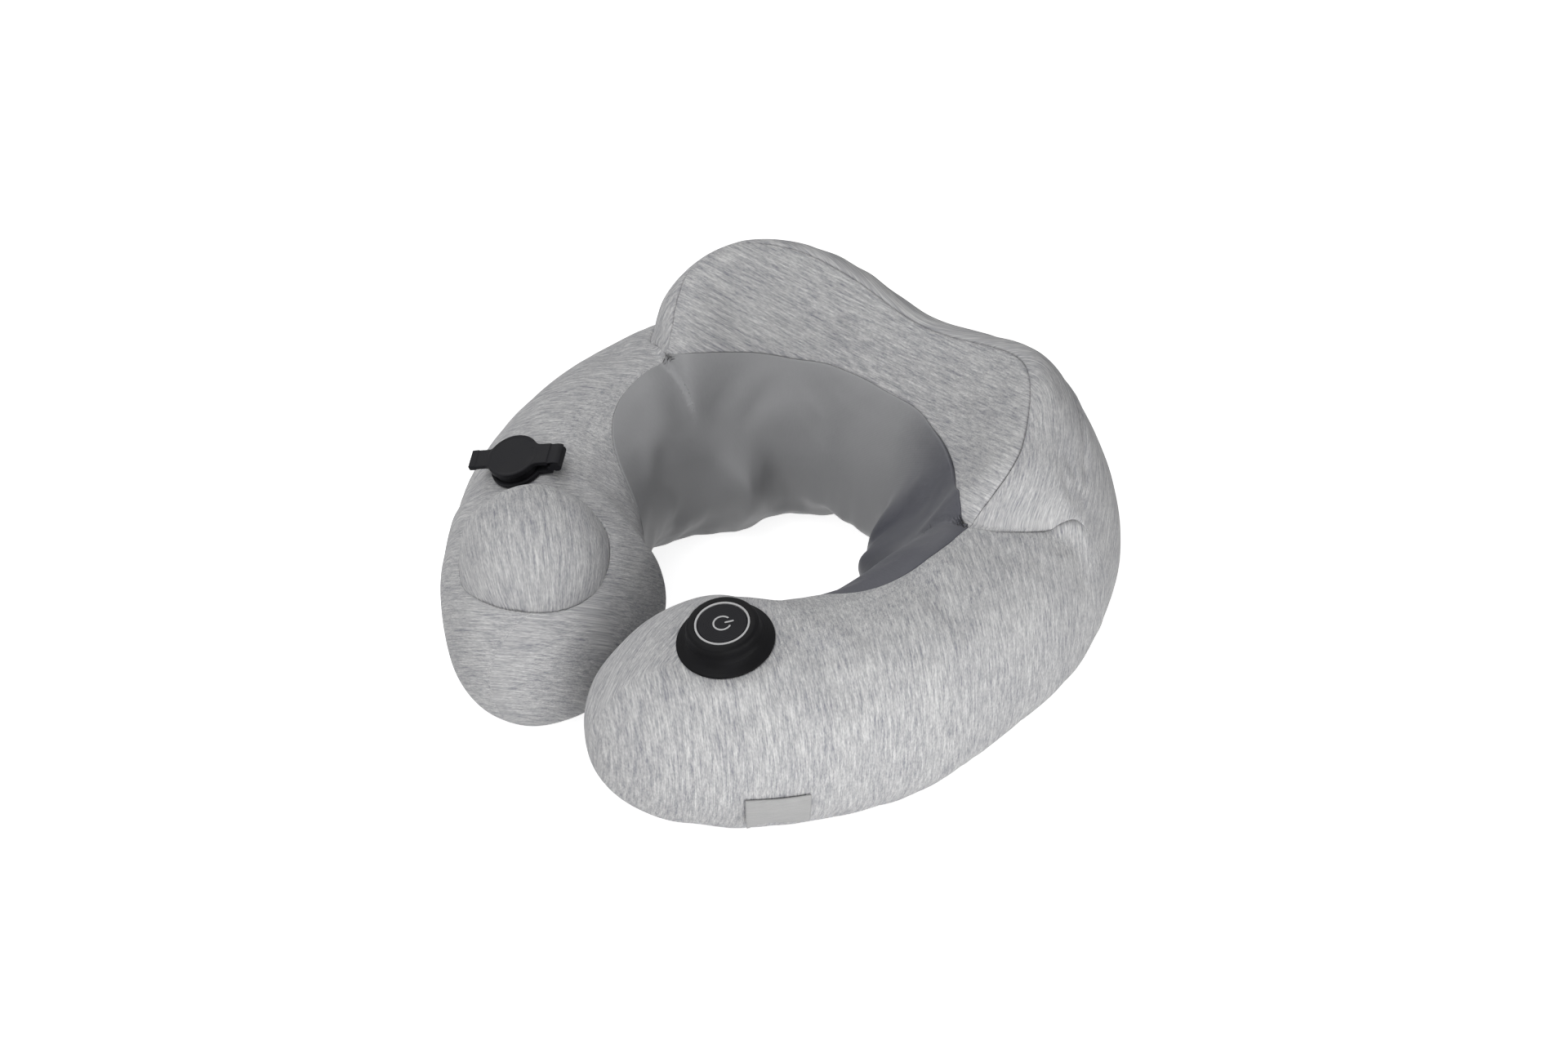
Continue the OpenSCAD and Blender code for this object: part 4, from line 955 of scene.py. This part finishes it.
TAB = (VALVE[0], VALVE[1] @ np.array(Matrix.Rotation(math.radians(50), 3, "Z")))
CAP_Z, CAP_R, CAP_T = 7.2, 12.8, 3.0
HINGE_X, HINGE_Z = 22.0, 5.8
PULL_HALF, HINGE_HALF, STRAP_HALF = 5.25, 6, 5.8  # half widths of the tabs
SLEEVE_IN, SLEEVE_OUT, SLEEVE_STOP = 3.15, 3.75, 44  # radii and end angle of the cap's hinge
BUTTON_Z = 11.9  # height of the button's face


def web(half, r, end, z0, z1):
    """Hollow corners where a tab of a half width runs out of the cap's edge, towards -x or +x."""
    parts = []
    cx = math.sqrt((CAP_R + r)**2 - (half + r)**2)
    for s in (-1, 1):
        t = np.linspace(-math.pi / 2, math.atan2(-(half + r), -cx) % (2 * math.pi) - 2 * math.pi, 12)
        arc = [(end * (cx + r * math.cos(k)), s * (half + r + r * math.sin(k))) for k in t]
        inside = [(end * x, s * y) for x, y in ((8.5, half + 1), (8.5, half - 2), (cx, half - 2))]
        parts.append(prism(arc + inside, z0, z1))
    return parts


def valve_cap():
    z, top = CAP_Z, CAP_Z + CAP_T
    disc = fillet([(0.05, z - 3.4), (5.9, z - 3.4), (6.2, z), (CAP_R, z), (CAP_R, top), (11.6, top),
                   (11.2, top - 0.2), (0.05, top - 0.2)], 0.6)
    arc = np.radians(np.linspace(90, SLEEVE_STOP, 12))
    sleeve = [(HINGE_X + r * math.cos(k), HINGE_Z + r * math.sin(k))
              for r, ks in ((SLEEVE_OUT, arc), (SLEEVE_IN, arc[::-1])) for k in ks]
    pull, hinge = (-PULL_HALF, PULL_HALF), (-HINGE_HALF, HINGE_HALF)
    parts = [turned(disc), boxed(-21.6, -10.8, *pull, z + 0.4, top - 0.5),
             boxed(-22, -18.6, *pull, z - 0.1, top - 0.2), boxed(10.8, 18.6, *hinge, z + 0.6, top - 0.1),
             boxed(18, HINGE_X + 0.05, *hinge, HINGE_Z + 3.1, HINGE_Z + SLEEVE_OUT), prism(sleeve, *hinge, True)]
    parts += web(PULL_HALF, 3.5, -1, z + 0.4, top - 0.5) + web(HINGE_HALF, 4.5, 1, z + 0.6, top - 0.1)
    return moulding("rubber_valve_cap", parts, TAB)


def valve_strap():
    wide = (-STRAP_HALF, STRAP_HALF)
    pin = [(HINGE_X + 2.8 * math.cos(k), HINGE_Z + 2.8 * math.sin(k)) for k in circle(48)]
    parts = [turned([(11.65, 1.5), (13.3, 1.5), (13.3, 3.6), (11.65, 3.6)], closed=True),
             boxed(12.4, 19.0, *wide, 1.6, 3.6), boxed(17.6, 19.4, *wide, 1.8, HINGE_Z + 0.4),
             boxed(18.6, HINGE_X, *wide, HINGE_Z - 2.2, HINGE_Z - 0.2), prism(pin, *wide, True)]
    return moulding("rubber_valve_strap", parts, TAB)


def spun(verts, degrees):
    return np.array(verts) @ np.array(Matrix.Rotation(math.radians(degrees), 3, "Z")).T


def hat():
    """Black top of the pod, with a notch for the charging socket."""
    prof = fillet([(20.2, 0.02), (22.3, 0), (22.3, 0.9), (20.9, 1.75), (19.1, 3.1), (17.6, 4.7), (17.0, 6.6),
                   (16.65, 9.7), (16.1, 11.15), (15.0, 11.95), (12.55, 12.0), (12.55, 9.7), (15.2, 8.8), (15.2, 1.35),
                   (19.4, 1.35)], 0.45, True)
    v, faces = turned(prof, 128, True)
    obj = face_out(new_object("pod_hat", world(v, POD), faces))
    v, faces = boxed(13, 21, -4.8, 4.8, 2.9, 6.5)
    cutter = face_out(new_object("cutter", world(spun(v, 138), POD), faces))
    cut = obj.modifiers.new("socket_notch", "BOOLEAN")
    cut.operation, cut.solver, cut.object = "DIFFERENCE", "EXACT", cutter
    apply_modifiers(obj)
    bpy.data.objects.remove(cutter)
    return obj


def button():
    prof = fillet([(0.05, 7.4), (12.2, 7.4), (12.2, 8.4), (11.2, 8.4), (11.2, BUTTON_Z), (0.05, BUTTON_Z)], 0.35)
    face = [(r, BUTTON_Z) for r in np.linspace(10.6, 0.05, 24)]
    return lathe("pod_button", np.concatenate([prof[:-1], face]), POD, 128,
                 lambda q: stack(np.hypot(q[:, 0], q[:, 1]), q[:, 2]))


def mark():
    """Generic on/off mark: an open ring and a bar."""
    arc = np.radians(np.linspace(34, 326, 60))
    loop = [(r * math.cos(k), r * math.sin(k)) for r, ks in ((4.25, arc), (3.5, arc[::-1])) for k in ks]
    cap = [(0.38 * math.sin(k), 0.38 * math.cos(k)) for k in np.linspace(0, math.pi, 8)]
    bar = [(4.9 + x, y) for x, y in cap] + [(1.5 - x, -y) for x, y in cap]
    verts, faces = join([prism(outline, BUTTON_Z - 0.1, BUTTON_Z + 0.15) for outline in (loop, bar)])
    return face_out(new_object("power_symbol", world(spun(verts, 52), POD), faces, None, False))


def ring():
    prof = fillet([(11.5, 9.65), (12.48, 9.65), (12.48, 12.1), (11.5, 12.1)], 0.25, True)
    return lathe("pod_light_ring", np.concatenate([prof, prof[:1]]), POD, 128)


def clear_of(p, node, joint):
    """Moves points out of the round that a turning node sweeps."""
    spec = next(j for j in frame["record"]["behaviour"]["joints"] if j["name"] == joint)
    axis, at = np.array(spec["axis"]), np.array(spec["pos_m"]) * 1000

    def polar(q):
        along = (q - at) @ axis
        out = q - at - along[:, None] * axis
        return along, out, norm(out)

    along, _, r = polar(coords(frame["nodes"][node].data) * 1000)
    run, out, far = polar(p)
    share = smooth((run - along.min() + 4) / 2) * smooth((along.max() + 4 - run) / 2)
    push = np.maximum(0, r.max() + 2.0 - far) * share
    return p + out * (push / np.maximum(far, 1))[:, None]


def bladder():
    """The welded air bag: the CAD form, swollen with the cover and kept under it."""
    obj = add_object("air_bag", frame["nodes"]["air_bladder"].data.copy())
    remesh(obj, 3.5, 3)
    p, n = coords(obj.data) * 1000, coords(obj.data, "normal")
    p = p + n * (swell.at(p) - 2.0 - 3.5 * hump(seam_gap(p), 0, 9))[:, None]
    a, r = about_neck(p)
    p = draw_in(p, smooth((mid_r(a) - r) / 26))
    for side in ("left", "right"):
        p = clear_of(p, side + "_knead_nodes", side + "_head_spin")
    obj.data.vertices.foreach_set("co", (p / 1000).ravel())
    obj.data.update()
    return obj


right_arm = arm(1)
pieces = {
    "cover_arm_left": arm(-1),
    "cover_arm_right": right_arm,
    "headrest_front_panel": headrest_front(),
    "headrest_back_panel": headrest_back(),
    "neck_liner": liner(),
    "base_panel": base(),
    "blank_label": label(right_arm),
    "pump_dome": dome(),
    "pump_foam": foam(),
    "air_bladder": bladder(),
    "valve_cap": valve_cap(),
    "valve_strap": valve_strap(),
    "control_hat": hat(),
    "power_button": button(),
    "light_ring": ring(),
    "power_mark": mark(),
}
RIDES = {"valve_cap": "valve_lid", "power_button": "button", "power_mark": "button"}
for node, obj in pieces.items():
    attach(obj, RIDES.get(node, "cushion"))
    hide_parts(node)


# Materials

class Tree:
    """Nodes of a material or world: add(kind, inputs) links sockets and sets plain values."""

    def __init__(self, owner):
        self.owner = owner
        owner.use_nodes = True
        self.nodes, self.links = owner.node_tree.nodes, owner.node_tree.links
        self.bsdf = self.nodes.get("Principled BSDF")

    def put(self, node, inputs):
        for key, value in inputs.items():
            socket = node.inputs[key]
            if isinstance(value, bpy.types.NodeSocket):
                self.links.new(value, socket)
            else:
                socket.default_value = value

    def add(self, kind, inputs=None, out=0, **props):
        node = self.nodes.new("ShaderNode" + kind)
        for key, value in props.items():
            setattr(node, key, value)
        self.put(node, inputs or {})
        return node.outputs[out]

    def math(self, how, a, b):
        return self.add("Math", {0: a, 1: b}, operation=how)

    def total(self, *parts):
        """Sum of (value, weight) pairs."""
        terms = [value if weight == 1 else self.math("MULTIPLY", value, weight) for value, weight in parts]
        out = terms[0]
        for term in terms[1:]:
            out = self.math("ADD", out, term)
        return out

    def ramp(self, value, stops):
        node = self.nodes.new("ShaderNodeValToRGB")
        self.links.new(value, node.inputs[0])
        while len(node.color_ramp.elements) < len(stops):
            node.color_ramp.elements.new(0.5)
        for e, (at, colour) in zip(node.color_ramp.elements, stops):
            e.position, e.color = at, (*colour, 1)
        return node.outputs[0]

    def noise(self, vector, scale, shift, detail, rough):
        m = self.add("Mapping", {"Vector": vector, "Scale": scale, "Location": (shift, 1.7 * shift, 0.6 * shift)})
        return self.add("TexNoise", {"Vector": m, "Scale": 1.0, "Detail": detail, "Roughness": rough})

    def span(self, value, from_range, to_range, **props):
        (a, b), (c, d) = from_range, to_range
        return self.add("MapRange", {"Value": value, "From Min": a, "From Max": b, "To Min": c, "To Max": d}, **props)

    def gloss(self, value, rough):
        """Roughness between two values, by a noise."""
        return self.span(value, (0.25, 0.75), rough)

    def waves(self, direction, inputs):
        return self.add("TexWave", inputs, wave_type="BANDS", bands_direction=direction)

    def bump(self, height, strength, distance):
        return self.add("Bump", {"Height": height, "Strength": strength, "Distance": distance})


def material(name):
    return Tree(bpy.data.materials.new(name))


def heather(name, dark, mid, light):
    """Melange jersey: fine pale and dark streaks along the grain, with knitted ribs."""
    t = material(name)
    uv = t.add("UVMap", uv_map="grain")
    fine = t.noise(uv, (1 / 6.5, 1 / 0.85, 1), 3.1, 2.0, 0.6)
    long = t.noise(uv, (1 / 15.0, 1 / 1.7, 1), 11.7, 1.5, 0.55)
    cloud = t.noise(uv, (1 / 40.0, 1 / 13.0, 1), 23.3, 2.0, 0.5)
    speck = t.noise(uv, (1 / 1.5, 1 / 0.6, 1), 37.9, 1.0, 0.5)
    streaks = t.total((fine, 0.40), (long, 0.26), (cloud, 0.12), (speck, 0.22))
    ribs = t.waves("Y", {"Vector": t.add("Mapping", {"Vector": uv, "Scale": (0.02, 1, 1)}), "Scale": 0.35,
                         "Distortion": 1.2, "Detail": 1.0, "Detail Scale": 1.5})
    loops = t.noise(uv, (1 / 0.9, 1 / 0.6, 1), 5.0, 1.0, 0.5)
    height = t.total((loops, 1), (fine, 0.6), (ribs, 0.5))
    t.put(t.bsdf, {"Base Color": t.ramp(streaks, [(0.36, dark), (0.5, mid), (0.64, light)]),
                   "Roughness": t.gloss(fine, (0.82, 0.96)), "Normal": t.bump(height, 0.35, 0.0004),
                   "Sheen Weight": 0.18, "Sheen Roughness": 0.55, "Specular IOR Level": 0.2})
    return t.owner


def satin(name, shaded_tone, mid, pale):
    """Smooth stretch liner: fine weave, soft shine, and painted shade that darkens its colour towards the pod's side.
    """
    t = material(name)
    uv = t.add("UVMap", uv_map="grain")
    weave = t.waves("DIAGONAL", {"Vector": uv, "Scale": 0.42, "Distortion": 0.5})
    slow = t.noise(uv, (1 / 60.0, 1 / 34.0, 1), 7.0, 2.0, 0.5)
    fine = t.noise(uv, (1 / 3.0, 1 / 0.7, 1), 2.0, 2.0, 0.6)
    along = t.add("SeparateXYZ", {0: uv}, out=1)
    # painted shade: the base colour falls from mid to the dark bluish tone across the liner towards the pod's side (v
    # from 6 to 51), standing in for the shade on the wall that faces away from the lamps
    painted_shade = t.span(along, (6.0, 51.0), (0.62, 0.06), interpolation_type="SMOOTHSTEP")
    tone = t.total((slow, 0.3), (fine, 0.12), (painted_shade, 1))
    t.put(t.bsdf, {"Base Color": t.ramp(tone, [(0.25, shaded_tone), (0.8, mid), (0.95, pale)]),
                   "Roughness": t.gloss(fine, (0.42, 0.56)),
                   "Normal": t.bump(t.total((weave, 0.4), (fine, 1)), 0.16, 0.0002),
                   "Sheen Weight": 0.25, "Sheen Roughness": 0.4, "Specular IOR Level": 0.35})
    return t.owner


def moulded(name, dark, light, rough, grain=0.25, scale=900, spec=0.5, metal=0.0):
    """Moulded, rubber or metal surface: slight tone change, fine grain and uneven gloss."""
    t = material(name)
    at = t.add("TexCoord", out="Object")
    slow = t.noise(at, (90, 90, 90), 1.0, 3.0, 0.55)
    fine = t.noise(at, (scale, scale, scale), 4.0, 2.0, 0.5)
    t.put(t.bsdf, {"Base Color": t.ramp(slow, [(0.35, dark), (0.65, light)]), "Roughness": t.gloss(slow, rough),
                   "Normal": t.bump(fine, grain, 0.0001), "Specular IOR Level": spec, "Metallic": metal})
    return t.owner


def turned_face(name, dark, light, rough):
    """Black plastic with fine rings from turning."""
    t = material(name)
    uv = t.add("UVMap", uv_map="grain")
    rings = t.waves("X", {"Vector": uv, "Scale": 0.42, "Distortion": 0.4, "Detail": 1.0})
    slow = t.noise(uv, (1 / 2.4, 1 / 9.0, 1), 3.0, 2.0, 0.5)
    t.put(t.bsdf, {"Base Color": t.ramp(t.total((rings, 0.6), (slow, 0.4)), [(0.3, dark), (0.7, light)]),
                   "Roughness": t.gloss(slow, rough), "Normal": t.bump(rings, 0.25, 0.0001),
                   "Specular IOR Level": 0.08})
    return t.owner


def grey(x, tint=0.0):
    return (x * (1 - tint), x, x * (1 + 2 * tint))


MOULDED = {  # dark and light tone, roughness, then grain, its scale, specular level and metal where they differ
    "bladder_film": ((0.24, 0.25, 0.27), (0.30, 0.31, 0.33), (0.25, 0.4), 0.15),
    "dark_rubber": ((0.008, 0.008, 0.0095), (0.012, 0.012, 0.0145), (0.55, 0.7), 0.35, 1400, 0.14),
    "black_plastic": ((0.003, 0.003, 0.0035), (0.0045, 0.0045, 0.0055), (0.42, 0.55), 0.3, 1600, 0.09),
    "white_plastic": ((0.44, 0.44, 0.445), (0.5, 0.5, 0.505), (0.35, 0.45), 0.1),
    "grey_plastic": ((0.030, 0.032, 0.036), (0.042, 0.044, 0.05), (0.45, 0.6), 0.3),
    "natural_plastic": ((0.72, 0.69, 0.6), (0.8, 0.77, 0.68), (0.4, 0.55), 0.2),
    "node_rubber": ((0.5, 0.08, 0.05), (0.58, 0.11, 0.075), (0.45, 0.6), 0.3),
    "steel": ((0.55, 0.56, 0.58), (0.66, 0.67, 0.69), (0.25, 0.4), 0.15, 600, 0.5, 1.0),
    "brass": ((0.6, 0.42, 0.12), (0.72, 0.52, 0.18), (0.25, 0.4), 0.15, 600, 0.5, 1.0),
    "board": ((0.02, 0.12, 0.045), (0.03, 0.16, 0.06), (0.3, 0.45), 0.2),
    "cell_sleeve": ((0.03, 0.09, 0.3), (0.045, 0.12, 0.36), (0.2, 0.35), 0.1),
    "cable_sheath": ((0.012, 0.012, 0.014), (0.02, 0.02, 0.022), (0.5, 0.65), 0.3),
}
MATS = {slot: moulded(slot, *look) for slot, look in MOULDED.items()} | {
    "heather_knit": heather("heather_knit", (0.265, 0.267, 0.303), (0.50, 0.50, 0.508), (0.74, 0.738, 0.733)),
    "base_cloth": heather("base_knit", grey(0.34, 0.012), grey(0.44, 0.005), grey(0.54)),
    # the liner's first colour is the dark bluish tone of its painted shade towards the pod's side
    "slate_liner": satin("slate_satin", (0.072, 0.074, 0.091), (0.325, 0.327, 0.336), (0.36, 0.36, 0.37)),
    "label_cloth": heather("label_weave", grey(0.40), grey(0.43), grey(0.46)),
    "pump_foam": moulded("open_foam", (0.62, 0.6, 0.5), (0.72, 0.7, 0.6), (0.9, 1.0), 1.0, 700, 0.2),
    "button_plastic": turned_face("button_plastic", (0.006, 0.006, 0.008), (0.014, 0.014, 0.017), (0.25, 0.4)),
}
SLOTS = {s["node"]: s["material_slot"] for s in frame["record"]["subparts"]}


def paint(obj, slot):
    obj.data.materials.clear()
    obj.data.materials.append(MATS[slot])


for node, obj in frame["nodes"].items():
    paint(obj, SLOTS[node])
for node, obj in pieces.items():
    paint(obj, SLOTS[node])


# Light and floor

AMBIENT, FLOOR_GLOW, BOUNCE = 0.03, 0.86, 0.05  # light of the world, of the floor as seen, and from the floor
FLOOR_HALF, FLOOR_Z = 6.0, -0.0004  # metres
GLOW_FROM, GLOW_TO = 0.6, 1.6  # distances over which the floor turns as white as the world
WHITE = (1, 1, 1, 1)
MIDDLE = Vector((0.0, 0.0, 0.06))
LIGHTS = {  # place, size and power; each faces the middle
    "key_light": ((0.80, -0.45, 0.22), 0.5, 2.3), "low_right": ((0.6, 0.05, 0.03), 0.3, 1.15),
    "low_front": ((0.45, -0.45, 0.03), 0.3, 0.8), "front_left": ((-0.5, -0.8, 0.6), 0.5, 0.8),
    "front_top": ((0.1, -0.7, 1.0), 0.8, 5.0), "top_light": ((-0.1, -0.3, 1.4), 1.0, 3.0),
    "left_top": ((-0.9, 0.2, 1.0), 0.8, 4.1),
}


def behind(t, seen, lit):
    """Shader seen directly or in a reflection, and the one that lights the object."""
    path = t.nodes.new("ShaderNodeLightPath").outputs
    f = t.math("MAXIMUM", path["Is Camera Ray"], path["Is Glossy Ray"])
    f = t.math("MAXIMUM", f, path["Is Transmission Ray"])
    return t.add("MixShader", {0: f, 1: lit, 2: seen})


def make_world():
    scene.world = bpy.data.worlds.new("studio")
    t = Tree(scene.world)
    t.nodes.clear()
    seen, lit = (t.add("Background", {"Color": WHITE, "Strength": k}) for k in (1.0, AMBIENT))
    t.put(t.nodes.new("ShaderNodeOutputWorld"), {"Surface": behind(t, seen, lit)})


def make_floor():
    mesh = bpy.data.meshes.new("floor")
    s = FLOOR_HALF
    mesh.from_pydata([(x, y, FLOOR_Z) for x, y in ((-s, -s), (s, -s), (s, s), (-s, s))], [], [(0, 1, 2, 3)])
    obj = add_object("floor", mesh)
    t = material("floor_white")
    t.nodes.remove(t.bsdf)

    def surface(tone, strength):
        matt = t.add("BsdfDiffuse", {"Color": (tone, tone, tone, 1)})
        return t.add("AddShader", {0: matt, 1: t.add("Emission", {"Color": WHITE, "Strength": strength})})

    far = t.add("VectorMath", {0: t.add("NewGeometry", out="Position")}, out="Value", operation="LENGTH")
    glow = t.span(far, (GLOW_FROM, GLOW_TO), (FLOOR_GLOW, 1.0))
    t.put(t.nodes["Material Output"], {"Surface": behind(t, surface(0.7, glow), surface(0.8, BOUNCE))})
    mesh.materials.append(t.owner)


def area_light(name, at, size, power):
    data = bpy.data.lights.new(name, "AREA")
    data.shape, data.size, data.energy = "SQUARE", size, power
    obj = add_object(name, data)
    aim = (MIDDLE - Vector(at)).to_track_quat("-Z", "Y").to_matrix().to_4x4()
    obj.matrix_world = Matrix.Translation(Vector(at)) @ aim
    obj.visible_camera = False


scene.view_settings.view_transform = "Standard"
make_world()
make_floor()
for name, light in LIGHTS.items():
    area_light(name, *light)

PUMP_AXIS = PUMP[1][:, 2]
apply_modifiers(pieces["pump_dome"])
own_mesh(pieces["pump_dome"], "pump_press", axis=PUMP_AXIS, anchor=world([0, 0, -SKIRT], PUMP) / 1000, keep=0.55)
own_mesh(pieces["pump_foam"], "pump_press", axis=PUMP_AXIS, anchor=world([0, 0, -FOAM_H], PUMP) / 1000, keep=0.71)
